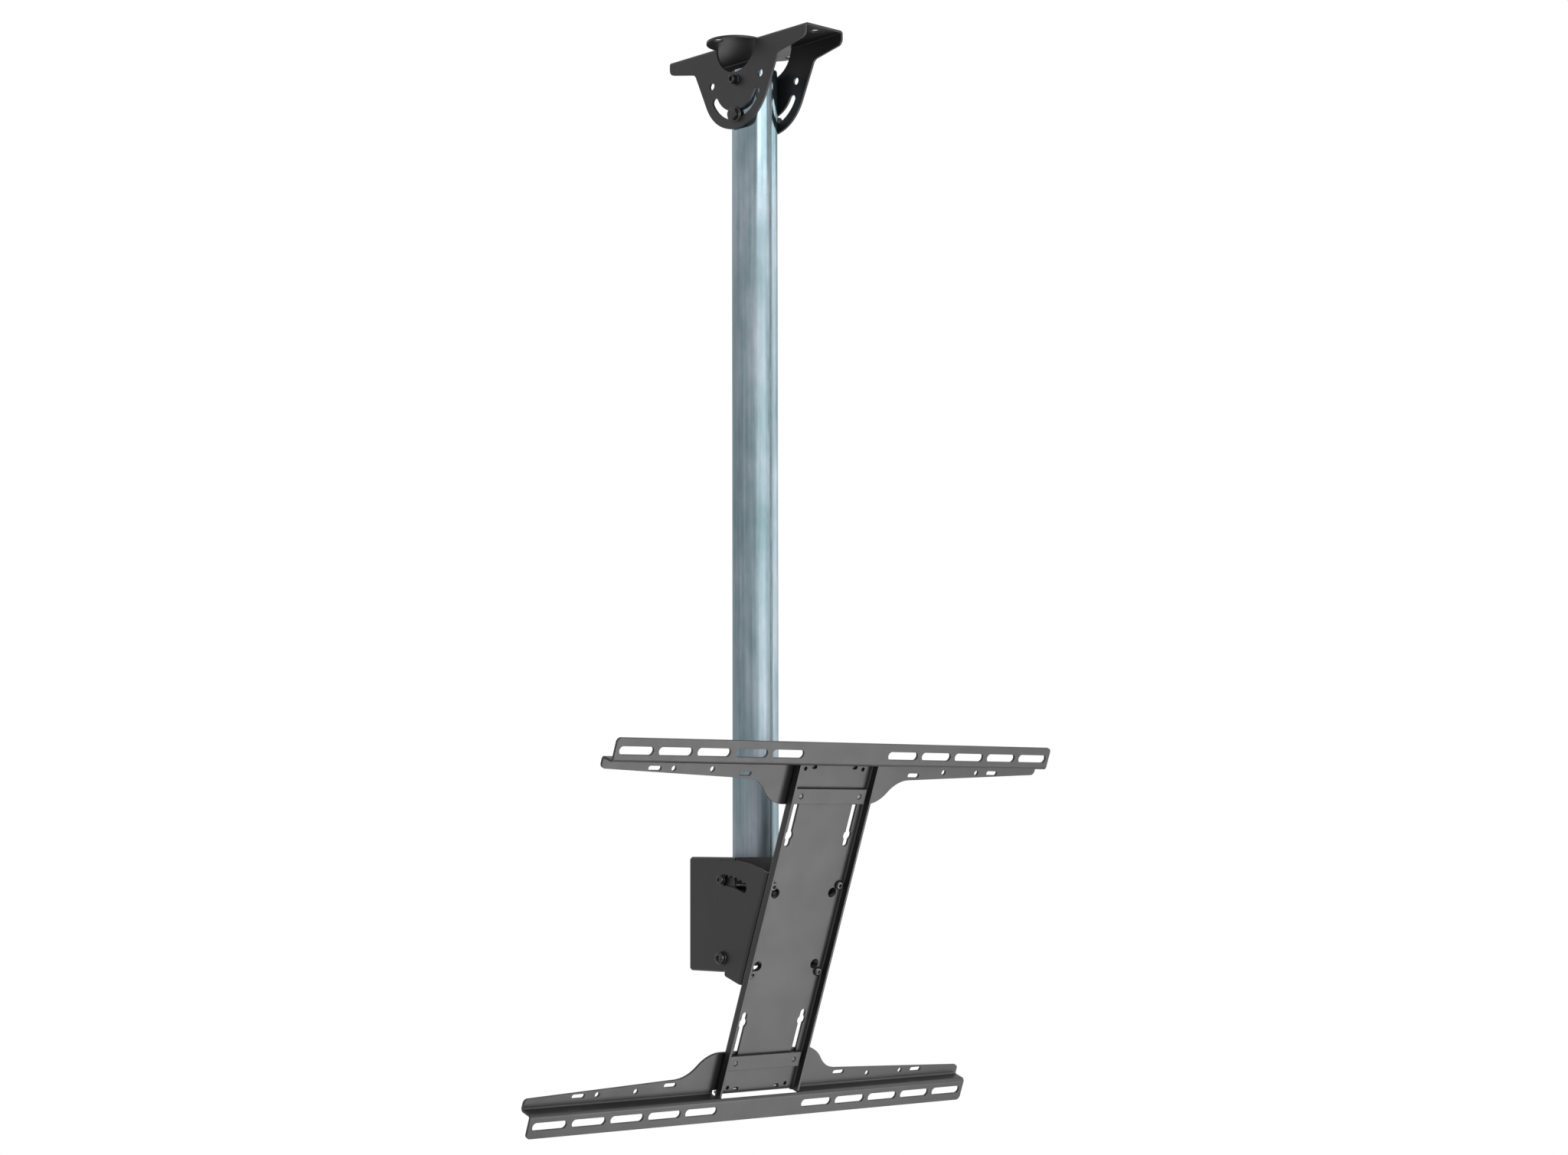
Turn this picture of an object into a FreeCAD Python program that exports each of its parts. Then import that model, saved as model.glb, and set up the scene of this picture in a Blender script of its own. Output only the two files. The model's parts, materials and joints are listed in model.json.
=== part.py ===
import FreeCAD, Part
import math
import os
from FreeCAD import Placement, Rotation, Vector

os.makedirs("parts", exist_ok=True)
doc = FreeCAD.newDocument("CeilingScreenMount")

# Driving sizes in millimetres and degrees
SIZES = [
    ("poleDiameter", 50.0, "outside of the pole"),
    ("poleWall", 2.0, "wall of the pole"),
    ("poleTopDrop", 28.5, "ceiling down to the top of the pole"),
    ("poleFootRise", 6.0, "pole foot above the foot of the head box"),
    ("headDrop", 995.1, "ceiling down to the tilt pivot"),
    ("earPlay", 0.3, "gap between the pole and each ear"),
    ("ceilingSheet", 2.5, "sheet of the ceiling bracket"),
    ("ceilingLength", 222.0, "length of the ceiling bracket"),
    ("ceilingBend", 3.5, "outside bend radius of the ceiling bracket"),
    ("ceilingPivotDrop", 41.0, "ceiling down to the pole pivot"),
    ("earRadius", 53.6, "round foot of each ear about the pivot"),
    ("earTaper", 25.0, "lean of the sides of each ear"),
    ("armEndDepth", 14.5, "depth of the bracket at its ends"),
    ("armRootDepth", 22.0, "depth of the bracket where the ear begins"),
    ("tabRadius", 32.0, "lanced tab and the notch it leaves"),
    ("tabHole", 11.0, "screw hole of each tab"),
    ("tabHoleReach", 25.0, "screw hole of the tab outside the ear"),
    ("endHole", 11.0, "screw hole near each end of the bracket"),
    ("endHoleInset", 14.0, "end screw hole from the end"),
    ("sideHole", 8.0, "round holes beside the pivot"),
    ("sideHoleOffset", 39.4, "round holes from the pivot"),
    ("lockRadius", 38.5, "lock bolt below the pivot"),
    ("lockSlotHalfAngle", 61.0, "lock slot each way from straight down"),
    ("lockBolt", 8.0, "lock bolt thread"),
    ("lockPlay", 0.5, "lock bolt to the edges of its slot"),
    ("pivotBolt", 6.0, "pole pivot bolt thread"),
    ("shaftPlay", 0.05, "radial clearance of a shank in its hole"),
    ("frameSheet", 2.5, "sheet of the head, column and arms"),
    ("headSidePlay", 0.2, "gap from head box to tilt bracket"),
    ("headBack", 47.0, "back of the head box behind the pole axis"),
    ("headFront", 27.0, "front edges of the head box ahead of the axis"),
    ("headTopRise", 107.0, "top of the head box above the tilt pivot"),
    ("headFootDrop", 15.3, "foot of the head box below the tilt pivot"),
    ("headFlange", 12.0, "folded edges of the head box"),
    ("headCornerGap", 2.2, "corner relief of the head box"),
    ("headBend", 3.0, "outside bend radius of the head box"),
    ("strapHeight", 25.0, "strap across the top front of the head box"),
    ("strapPlay", 0.6, "gap between the pole and the strap"),
    ("clampPlay", 0.3, "gap between the pole and its clamps"),
    ("clampRod", 8.0, "rod of the clamp bows"),
    ("clampLow", 14.0, "lower clamp bow above the tilt pivot"),
    ("clampHigh", 74.0, "upper clamp bow above the tilt pivot"),
    ("saddleWidth", 44.0, "width of a pole saddle"),
    ("saddleHeight", 24.0, "height of a pole saddle"),
    ("tiltAngle", 20.0, "forward tilt at rest"),
    ("tiltStep", 5.0, "step between the lobes of the tilt slot"),
    ("tiltPivotAhead", 9.6, "tilt pivot ahead of the pole axis"),
    ("tiltPivotDepth", 51.7, "tilt pivot behind the screen plane"),
    ("tiltPivotLow", 46.7, "tilt pivot below the screen centre"),
    ("tiltPivotScrew", 8.0, "tilt pivot screw thread"),
    ("tiltLockScrew", 6.0, "tilt lock screw thread"),
    ("tiltLockRadius", 83.0, "tilt lock screw above the tilt pivot"),
    ("tiltSlotInner", 6.0, "inner edge of the tilt slot below the lock screw"),
    ("tiltSlotOuter", 3.4, "outer edge of the tilt slot above the lock screw"),
    ("tiltLobe", 2.2, "rise of the lobes over the tilt slot"),
    ("tiltHeight", 126.0, "height of the tilt bracket"),
    ("tiltBend", 4.0, "outside bend radius of the tilt bracket"),
    ("tiltRear", 14.0, "margin of the tilt plates round the pivot"),
    ("tiltTopRadius", 140.0, "crown of the tilt plates"),
    ("columnWidth", 115.0, "width of the column"),
    ("columnLength", 377.0, "length of the column"),
    ("columnFlange", 10.5, "depth of the column flanges"),
    ("columnBend", 4.0, "outside bend radius of the column"),
    ("columnLip", 5.0, "lip folded back at each end of the column"),
    ("columnBack", 15.1, "back of the column behind the screen plane"),
    ("columnBolt", 6.0, "column bolt thread"),
    ("columnBoltX", 48.0, "column bolts from the middle, across"),
    ("columnBoltZ", 49.6, "column bolts from the middle, along"),
    ("toolHole", 11.0, "large holes in the column"),
    ("toolHoleX", 41.2, "large holes from the middle, across"),
    ("toolHoleZ", 41.0, "large holes from the middle, along"),
    ("guideX", 42.3, "guide slots from the middle"),
    ("guideWidth", 7.0, "width of a guide slot"),
    ("guideInner", 93.5, "inner end of a guide slot"),
    ("guideEye", 11.0, "round eye of a guide slot"),
    ("guideEyeZ", 106.0, "eye of a guide slot from the middle"),
    ("endEye", 4.5, "small round holes at the column ends"),
    ("endSlot", 7.0, "small slots at the column ends"),
    ("armLength", 626.0, "length of an arm"),
    ("armFlange", 26.0, "height of the slotted flange"),
    ("armBend", 4.0, "outside bend radius of an arm"),
    ("rowHalf", 200.0, "slot row from the middle of the column"),
    ("slotPitch", 50.7, "pitch of the screen slots"),
    ("slotFirst", 83.3, "first screen slot from the middle"),
    ("slotLength", 44.0, "length of a screen slot"),
    ("slotHeight", 9.0, "height of a screen slot"),
    ("rearSlotX", 244.0, "long hole of the rear flange from the middle"),
    ("rearSlot", 17.0, "long holes of the rear flange"),
    ("rearHoleOuter", 219.2, "outer round hole of the rear flange"),
    ("rearHoleInner", 167.7, "inner round hole of the rear flange"),
    ("gussetSlotX", 122.1, "long hole at the root of the gusset"),
    ("webGap", 2.5, "clearance of the column in the arm web"),
    ("rearTip", 11.0, "rear flange at the tips"),
    ("rearRoot", 19.0, "rear flange where the gusset begins"),
    ("rearDeep", 47.0, "rear flange over the column"),
    ("gussetOuter", 118.0, "outer end of the gusset curve"),
    ("gussetInner", 60.0, "inner end of the gusset curve"),
    ("barHalf", 51.2, "half length of a clamp bar"),
    ("barHeight", 16.5, "height of a clamp bar"),
    ("barThick", 3.8, "thickness of a clamp bar"),
    ("barZ", 150.8, "clamp bar from the middle of the column"),
    ("clampScrew", 6.0, "clamp screw thread"),
]

sheet = doc.addObject("Spreadsheet::Sheet", "Sizes")
for row, (alias, value, note) in enumerate(SIZES, start=1):
    sheet.set("A%d" % row, alias)
    sheet.set("B%d" % row, "%g" % value)
    sheet.set("C%d" % row, note)
    sheet.setAlias("B%d" % row, alias)
doc.recompute()


def size(alias):
    return float(sheet.get(alias))


nodes = []


def keep(piece, label):
    piece.Label = label
    nodes.append(piece)
    return piece


# Sketch geometry: straight runs joined by tangent arcs
def roundedLoop(corners):
    count = len(corners)
    starts, ends, arcs = [], [], []
    for i in range(count):
        here = Vector(corners[i][0], corners[i][1], 0)
        before = Vector(*corners[i - 1][:2], 0)
        after = Vector(*corners[(i + 1) % count][:2], 0)
        radius = corners[i][2] if len(corners[i]) > 2 else 0.0
        back = (before - here).normalize()
        ahead = (after - here).normalize()
        if radius <= 0:
            starts.append(here)
            ends.append(here)
            arcs.append(None)
            continue
        half = back.getAngle(ahead) / 2
        setback = radius / math.tan(half)
        middle = (back + ahead).normalize()
        centre = here + middle * (radius / math.sin(half))
        starts.append(here + back * setback)
        ends.append(here + ahead * setback)
        arcs.append(Part.Arc(starts[-1], centre - middle * radius, ends[-1]))
    loop = []
    for i in range(count):
        if arcs[i]:
            loop.append(arcs[i])
        first, last = ends[i], starts[(i + 1) % count]
        if first.distanceToPoint(last) > 1e-6:
            loop.append(Part.LineSegment(first, last))
    return loop


def rectangleLoop(x0, y0, x1, y1, radius=0.0):
    corners = [(x0, y0, radius), (x1, y0, radius)]
    corners += [(x1, y1, radius), (x0, y1, radius)]
    return roundedLoop(corners)


def slotLoop(x, y, length, width):
    return rectangleLoop(x - length / 2, y - width / 2,
                         x + length / 2, y + width / 2, width / 2 - 1e-4)


def circleLoop(x, y, diameter):
    return [Part.Circle(Vector(x, y, 0), Vector(0, 0, 1), diameter / 2)]


def polar(centre, radius, degrees):
    angle = math.radians(degrees)
    return Vector(centre[0] + radius * math.cos(angle),
                  centre[1] + radius * math.sin(angle), 0)


def arcSlotLoop(centre, radius, width, first, last):
    """Curved slot with round ends, angles of the end centres"""
    half = width / 2
    middle = (first + last) / 2
    outer = [polar(centre, radius + half, a) for a in (first, middle, last)]
    inner = [polar(centre, radius - half, a) for a in (first, middle, last)]
    near = polar(polar(centre, radius, first), half, first - 90)
    far = polar(polar(centre, radius, last), half, last + 90)
    return [Part.Arc(outer[0], outer[1], outer[2]),
            Part.Arc(outer[2], far, inner[2]),
            Part.Arc(inner[2], inner[1], inner[0]),
            Part.Arc(inner[0], near, outer[0])]


# Sheet pieces are bodies of sketches, pads and pockets
def makeBody(name):
    return doc.addObject("PartDesign::Body", name)


def originPlane(body, role):
    for feature in body.Origin.OriginFeatures:
        if feature.Role == role:
            return feature
    raise ValueError(role)


def addSketch(body, role, loops, offset=0.0, name="Sketch"):
    sketch = body.newObject("Sketcher::SketchObject", name)
    sketch.AttachmentSupport = [(originPlane(body, role), "")]
    sketch.MapMode = "FlatFace"
    sketch.AttachmentOffset = Placement(Vector(0, 0, offset), Rotation())
    for loop in loops:
        sketch.addGeometry(loop, False)
    return sketch


def addPad(body, sketch, length, midplane=False, name="Pad"):
    pad = body.newObject("PartDesign::Pad", name)
    pad.Profile = sketch
    pad.setExpression("Length", length)
    pad.Midplane = midplane
    return pad


def addPocket(body, sketch, length="3 * Sizes.armLength", midplane=True,
              backward=False, name="Pocket"):
    pocket = body.newObject("PartDesign::Pocket", name)
    pocket.Profile = sketch
    pocket.setExpression("Length", length)
    pocket.Midplane = midplane
    pocket.Reversed = backward
    return pocket


def trimOutside(body, role, loops, reach):
    """Cut away what lies outside one outline"""
    frame = rectangleLoop(-reach, -reach, reach, reach)
    return addPocket(body, addSketch(body, role, [frame] + loops))


# Fasteners and blocks are primitives, turned so that their axis runs as asked
TURNS = {
    "+X": Rotation(Vector(0, 1, 0), 90),
    "-X": Rotation(Vector(0, 1, 0), -90),
    "+Y": Rotation(Vector(1, 0, 0), -90),
    "-Y": Rotation(Vector(1, 0, 0), 90),
    "+Z": Rotation(),
}


def primitive(kind, name, **sizes):
    piece = doc.addObject("Part::" + kind, name)
    for key, value in sizes.items():
        if isinstance(value, str):
            piece.setExpression(key, value)
        else:
            setattr(piece, key, value)
    return piece


def place(piece, x=0.0, y=0.0, z=0.0, turn=None):
    piece.Placement = Placement(Vector(x, y, z), turn or Rotation())
    return piece


def cut(name, base, tool):
    result = doc.addObject("Part::Cut", name)
    result.Base = base
    result.Tool = tool
    return result


def fuse(name, pieces):
    if len(pieces) == 1:
        return pieces[0]
    result = doc.addObject("Part::MultiFuse", name)
    result.Shapes = pieces
    return result


def group(label, pieces, frame=None):
    """One node of separate solids, in the frame that carries them"""
    if len(pieces) == 1:
        node = pieces[0]
        node.Placement = (frame or Placement()) * node.Placement
        return keep(node, label)
    node = doc.addObject("Part::Compound", "Group")
    node.Links = pieces
    node.Placement = frame or Placement()
    return keep(node, label)


def along(length, turn, spot, kind, name, shift=0.0, **sizes):
    """Primitive whose own Z follows turn, starting shift past the spot"""
    piece = primitive(kind, name, **sizes)
    start = Vector(*spot) + turn.multVec(Vector(0, 0, shift))
    piece.Placement = Placement(start, turn)
    return piece


def hexBolt(name, spot, turn, thread, head, across, grip, flange=0.0):
    """Bolt whose shank runs along turn from the seat of its head"""
    shank = along(grip, turn, spot, "Cylinder", name + "Shank", 0.0,
                  Radius=thread / 2, Height=grip)
    top = along(head, turn, spot, "Prism", name + "Head", -head - flange,
                Polygon=6, Circumradius=across / math.sqrt(3), Height=head)
    parts = [shank, top]
    if flange:
        rim = along(flange, turn, spot, "Cylinder", name + "Rim", -flange,
                    Radius=across * 0.65, Height=flange)
        parts.append(rim)
    return fuse(name, parts)


def socketScrew(name, spot, turn, thread, head, wide, key, grip):
    """Round head with a hexagon socket"""
    shank = along(grip, turn, spot, "Cylinder", name + "Shank", 0.0,
                  Radius=thread / 2, Height=grip)
    crown = along(head, turn, spot, "Cone", name + "Crown", -head,
                  Radius1=wide / 2 * 0.72, Radius2=wide / 2, Height=head)
    socket = along(head, turn, spot, "Prism", name + "Socket", -head,
                   Polygon=6, Circumradius=key / math.sqrt(3),
                   Height=head * 0.62)
    return cut(name, fuse(name + "Solid", [shank, crown]), socket)


def hexNut(name, spot, turn, bore, high, across):
    body = along(high, turn, spot, "Prism", name + "Body", 0.0,
                 Polygon=6, Circumradius=across / math.sqrt(3), Height=high)
    hole = along(high, turn, spot, "Cylinder", name + "Hole", -1.0,
                 Radius=bore / 2, Height=high + 2)
    return cut(name, body, hole)


def washer(name, spot, turn, bore, wide, thick):
    disc = along(thick, turn, spot, "Cylinder", name + "Disc", 0.0,
                 Radius=wide / 2, Height=thick)
    hole = along(thick, turn, spot, "Cylinder", name + "Hole", -1.0,
                 Radius=bore / 2, Height=thick + 2)
    return cut(name, disc, hole)


# Proportions of standard fasteners, from the thread
NUT_ACROSS = {6: 10.0, 8: 13.0}
NUT_HIGH = {6: 5.0, 8: 6.5}
WASHER_WIDE = {6: 12.0, 8: 16.0}
WASHER_THICK = 1.6


def standard(table, thread):
    """Table size for a thread, scaled where the thread isn't listed"""
    nearest = min(table, key=lambda t: abs(t - thread))
    return table[nearest] * thread / nearest


# Frames: the ceiling at the origin, the head on the pole, the tilted screen
headFrame = Placement(Vector(0, 0, -size("headDrop")), Rotation())
tiltTurn = Rotation(Vector(1, 0, 0), size("tiltAngle"))
pivotInScreen = Vector(0, size("tiltPivotDepth"), -size("tiltPivotLow"))
pivotInRow = Vector(0, -size("tiltPivotAhead"), -size("headDrop"))
screenFrame = Placement(pivotInRow - tiltTurn.multVec(pivotInScreen), tiltTurn)

poleRadius = size("poleDiameter") / 2
earInner = poleRadius + size("earPlay")
earOuter = earInner + size("ceilingSheet")
pivotZ = -size("ceilingPivotDrop")


def channelLoop(inner, outer, top, foot, sheetGauge, bend):
    """Inverted channel seen along its length"""
    inside = max(bend - sheetGauge, 0.2)
    return roundedLoop([
        (-outer, foot), (-outer, top, bend), (outer, top, bend), (outer, foot),
        (inner, foot), (inner, top - sheetGauge, inside),
        (-inner, top - sheetGauge, inside), (-inner, foot)])


def earLoop():
    """Side of the ceiling bracket: a long bar with a round-footed ear"""
    half = size("ceilingLength") / 2
    radius = size("earRadius")
    taper = math.radians(size("earTaper"))
    # the ear's side is tangent to its round foot
    tangent = polar((0, pivotZ), radius, -size("earTaper"))
    rise = -size("armRootDepth") - tangent.y
    rootY = tangent.x + rise * math.tan(taper)
    slope = size("armRootDepth") - size("armEndDepth")
    corners = [(half, 0), (half, -size("armEndDepth"), 7.0),
               (rootY, -size("armRootDepth") - 0.1 * slope, 8.0)]
    loop = []
    lower = Vector(tangent.x, tangent.y, 0)
    right = roundedLoop([corners[0], corners[1], corners[2],
                         (tangent.x, tangent.y), (0, 0)])
    # the first pieces of the loop run from the bar's end to the tangent point
    run = [piece for piece in right
           if not touches(piece, Vector(0, 0, 0))]
    loop += run
    loop += [mirrored(piece) for piece in run]
    loop.append(Part.Arc(lower, Vector(0, pivotZ - radius, 0),
                         Vector(-lower.x, lower.y, 0)))
    loop.append(Part.LineSegment(Vector(-half, 0, 0), Vector(half, 0, 0)))
    return loop


def touches(piece, point):
    ends = [piece.StartPoint, piece.EndPoint]
    return any(end.distanceToPoint(point) < 1e-6 for end in ends)


def mirrored(piece):
    """The same line or arc on the other side of the sketch's upright axis"""
    flip = [Vector(-p.x, p.y, 0) for p in (piece.StartPoint, piece.EndPoint)]
    if isinstance(piece, Part.LineSegment):
        return Part.LineSegment(flip[0], flip[1])
    middle = piece.value((piece.FirstParameter + piece.LastParameter) / 2)
    return Part.Arc(flip[0], Vector(-middle.x, middle.y, 0), flip[1])


def buildCeilingBracket():
    body = makeBody("CeilingBracket")
    gauge = size("ceilingSheet")
    foot = pivotZ - size("earRadius") - 1.0
    channel = channelLoop(earInner, earOuter, 0, foot, gauge,
                          size("ceilingBend"))
    section = addSketch(body, "XZ_Plane", [channel], name="ChannelSection")
    addPad(body, section, "Sizes.ceilingLength", True, "Channel")
    trimOutside(body, "YZ_Plane", [earLoop()], size("ceilingLength"))

    # each tab is lanced from its ear and stays in the plane of the top
    radius = size("tabRadius")
    under = math.sqrt(radius ** 2 - gauge ** 2)
    notch = [Part.Arc(Vector(-under, -gauge, 0), Vector(0, -radius, 0),
                      Vector(under, -gauge, 0)),
             Part.LineSegment(Vector(under, -gauge, 0),
                              Vector(-under, -gauge, 0))]
    addPocket(body, addSketch(body, "YZ_Plane", [notch], name="NotchShape"),
              name="Notches")
    bend = size("ceilingBend")
    for side, name in ((1, "TabRight"), (-1, "TabLeft")):
        root = side * (earOuter - bend)
        straight = side * earOuter
        tip = side * (earOuter + radius)
        tab = [Part.LineSegment(Vector(root, -radius, 0),
                                Vector(straight, -radius, 0)),
               Part.Arc(Vector(straight, -radius, 0), Vector(tip, 0, 0),
                        Vector(straight, radius, 0)),
               Part.LineSegment(Vector(straight, radius, 0),
                                Vector(root, radius, 0)),
               Part.LineSegment(Vector(root, radius, 0),
                                Vector(root, -radius, 0))]
        shape = addSketch(body, "XY_Plane", [tab], -gauge, name + "Shape")
        addPad(body, shape, "Sizes.ceilingSheet", False, name)

    # holes of the ears: pivot, two round holes and the lock slot
    pivotHole = size("pivotBolt") + 2 * size("shaftPlay")
    slotWidth = size("lockBolt") + 2 * size("lockPlay")
    reach = size("lockSlotHalfAngle")
    loops = [circleLoop(0, pivotZ, pivotHole),
             arcSlotLoop((0, pivotZ), size("lockRadius"), slotWidth,
                         -90 - reach, -90 + reach)]
    for sign in (1, -1):
        loops.append(circleLoop(sign * size("sideHoleOffset"), pivotZ,
                                size("sideHole")))
    addPocket(body, addSketch(body, "YZ_Plane", loops, name="EarHoles"),
              name="EarOpenings")

    # screw holes of the top
    endY = size("ceilingLength") / 2 - size("endHoleInset")
    tabX = earOuter + size("tabHoleReach")
    loops = []
    for sign in (1, -1):
        loops.append(circleLoop(0, sign * endY, size("endHole")))
        loops.append(circleLoop(sign * tabX, 0, size("tabHole")))
    addPocket(body, addSketch(body, "XY_Plane", loops, name="ScrewHoles"),
              name="ScrewOpenings")
    return keep(body, "ceiling_bracket")


def buildCeilingFasteners():
    grip = 2 * earOuter
    thread = size("pivotBolt")
    thick = WASHER_THICK
    turn = TURNS["+X"]
    left = (-earOuter - thick, 0, pivotZ)
    nutHigh = standard(NUT_HIGH, thread)
    bolt = socketScrew("PivotBolt", left, turn, thread, thread, 10.0, 5.0,
                       grip + 2 * thick + nutHigh + 2)
    group("pivot_bolt", [bolt])
    wide = standard(WASHER_WIDE, thread)
    bore = thread + 0.2
    plates = [washer("PivotWasherA", (-earOuter, 0, pivotZ), TURNS["-X"],
                     bore, wide, thick),
              washer("PivotWasherB", (earOuter, 0, pivotZ), turn,
                     bore, wide, thick)]
    group("pivot_washers", plates)
    group("pivot_nut", [hexNut("PivotNut", (earOuter + thick, 0, pivotZ),
                               turn, thread, nutHigh,
                               standard(NUT_ACROSS, thread))])

    # the lock bolt goes through both slots and the pole
    lockZ = pivotZ - size("lockRadius")
    thread = size("lockBolt")
    across = standard(NUT_ACROSS, thread)
    nutHigh = standard(NUT_HIGH, thread)
    rim = 1.5
    bolt = hexBolt("LockBolt", (-earOuter, 0, lockZ), turn, thread, 5.5,
                   across, grip + nutHigh + rim + 2, rim)
    group("lock_bolt", [bolt])
    nut = hexNut("LockNutHex", (earOuter + rim, 0, lockZ), turn, thread,
                 nutHigh, across)
    flange = washer("LockNutRim", (earOuter, 0, lockZ), turn, thread,
                    across * 1.3, rim)
    group("lock_nut", [fuse("LockNut", [nut, flange])])


def buildPole():
    foot = -size("headDrop") - size("headFootDrop") + size("poleFootRise")
    top = -size("poleTopDrop")
    tube = primitive("Cylinder", "PoleOutside",
                     Radius="Sizes.poleDiameter / 2", Height=top - foot)
    place(tube, z=foot)
    bore = primitive("Cylinder", "PoleInside",
                     Radius="Sizes.poleDiameter / 2 - Sizes.poleWall",
                     Height=top - foot + 2)
    place(bore, z=foot - 1)
    drills = []
    for name, thread, z in (("Pivot", size("pivotBolt"), pivotZ),
                            ("Lock", size("lockBolt"),
                             pivotZ - size("lockRadius"))):
        drill = primitive("Cylinder", name + "Drill",
                          Radius=thread / 2 + size("shaftPlay"),
                          Height=4 * poleRadius)
        place(drill, -2 * poleRadius, 0, z, TURNS["+X"])
        drills.append(drill)
    hollow = cut("PoleTube", tube, bore)
    pole = cut("Pole", hollow, fuse("PoleDrills", drills))
    return keep(pole, "pole")


headOuter = size("columnWidth") / 2 - size("frameSheet") - size("headSidePlay")
headInner = headOuter - size("frameSheet")


def buildHeadBox():
    """Plan section of back and sides, and a folded section for each side"""
    body = makeBody("HeadBox")
    body.setExpression("Placement.Base.z", "-Sizes.headDrop")
    gauge = size("frameSheet")
    bend = size("headBend")
    inside = bend - gauge
    back = size("headBack")
    relief = size("headCornerGap")
    foldEnd = back - bend
    front = -size("headFront")
    low = -size("headFootDrop")
    high = size("headTopRise")
    plan = roundedLoop([
        (-headOuter, front), (-headOuter, back, bend),
        (headOuter, back, bend), (headOuter, front), (headInner, front),
        (headInner, back - gauge, inside),
        (-headInner, back - gauge, inside), (-headInner, front)])
    shape = addSketch(body, "XY_Plane", [plan], low + relief, "PlanSection")
    addPad(body, shape,
           "Sizes.headTopRise + Sizes.headFootDrop - 2 * Sizes.headCornerGap",
           False, "BackAndSides")
    flange = size("headFlange")
    loops = []
    for side in (1, -1):
        outer, inner = side * headOuter, side * headInner
        tip = side * (headOuter - flange)
        loops.append(roundedLoop([
            (tip, high), (outer, high, bend), (outer, low, bend), (tip, low),
            (tip, low + gauge), (inner, low + gauge, inside),
            (inner, high - gauge, inside), (tip, high - gauge)]))
    # the sketch on this plane looks towards the front, so it is set back
    folds = addSketch(body, "XZ_Plane", loops, -foldEnd, "FoldedSection")
    addPad(body, folds, "%f" % (foldEnd - front), False, "FoldedSides")

    # a strap closes the box in front of the pole, level with its top
    strap = rectangleLoop(-headInner - 0.5, high - size("strapHeight"),
                          headInner + 0.5, high)
    shape = addSketch(body, "XZ_Plane", [strap],
                      poleRadius + size("strapPlay"), "StrapShape")
    addPad(body, shape, "Sizes.frameSheet", False, "Strap")

    # side holes for the tilt pivot and lock screws
    ahead = -size("tiltPivotAhead")
    play = 2 * size("shaftPlay")
    holes = [circleLoop(ahead, 0, size("tiltPivotScrew") + play),
             circleLoop(ahead, size("tiltLockRadius"),
                        size("tiltLockScrew") + play)]
    addPocket(body, addSketch(body, "YZ_Plane", holes, name="SideHoles"),
              name="SideOpenings")
    # back holes for the clamp bows
    holes = []
    for z in (size("clampLow"), size("clampHigh")):
        for side in (1, -1):
            holes.append(circleLoop(side * clampLegX, z,
                                    size("clampRod") + play))
    addPocket(body, addSketch(body, "XZ_Plane", holes, -back / 2, "BackHoles"),
              "Sizes.headBack", False, False, name="BackOpenings")
    return keep(body, "head_box")


clampInner = poleRadius + size("clampPlay")
clampLegX = clampInner + size("clampRod") / 2


def buildPoleClamps():
    back = size("headBack")
    gauge = size("frameSheet")
    rod = size("clampRod")
    high = size("saddleHeight")
    nutHigh = standard(NUT_HIGH, rod)
    thick = WASHER_THICK
    legEnd = back + thick + nutHigh + 3
    saddles, bows, plates, nuts = [], [], [], []
    for name, z in (("Low", size("clampLow")), ("High", size("clampHigh"))):
        block = primitive("Box", name + "SaddleBlock",
                          Length="Sizes.saddleWidth", Height="Sizes.saddleHeight",
                          Width=back - gauge - poleRadius * 0.35)
        place(block, -size("saddleWidth") / 2, poleRadius * 0.35, z - high / 2)
        seat = primitive("Cylinder", name + "SaddleSeat", Radius=clampInner,
                         Height=high + 2)
        place(seat, 0, 0, z - high / 2 - 1)
        saddles.append(cut(name + "Saddle", block, seat))

        bend = primitive("Torus", name + "BowBend", Radius1=clampLegX,
                         Radius2="Sizes.clampRod / 2", Angle3=180.0)
        place(bend, 0, 0, z, Rotation(Vector(0, 0, 1), 180))
        legs = []
        for side in (1, -1):
            leg = primitive("Cylinder", name + "BowLeg",
                            Radius="Sizes.clampRod / 2", Height=legEnd)
            legs.append(place(leg, side * clampLegX, 0, z, TURNS["+Y"]))
            spot = (side * clampLegX, back, z)
            plates.append(washer(name + "BowWasher", spot, TURNS["+Y"],
                                 rod + 0.2, standard(WASHER_WIDE, rod), thick))
            spot = (side * clampLegX, back + thick, z)
            nuts.append(hexNut(name + "BowNut", spot, TURNS["+Y"], rod,
                               nutHigh, standard(NUT_ACROSS, rod)))
        bows.append(fuse(name + "Bow", [bend] + legs))
    group("pole_saddles", saddles, headFrame)
    group("clamp_bows", bows, headFrame)
    group("clamp_bow_washers", plates, headFrame)
    group("clamp_bow_nuts", nuts, headFrame)


tiltOuter = size("columnWidth") / 2
tiltInner = tiltOuter - size("frameSheet")


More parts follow.
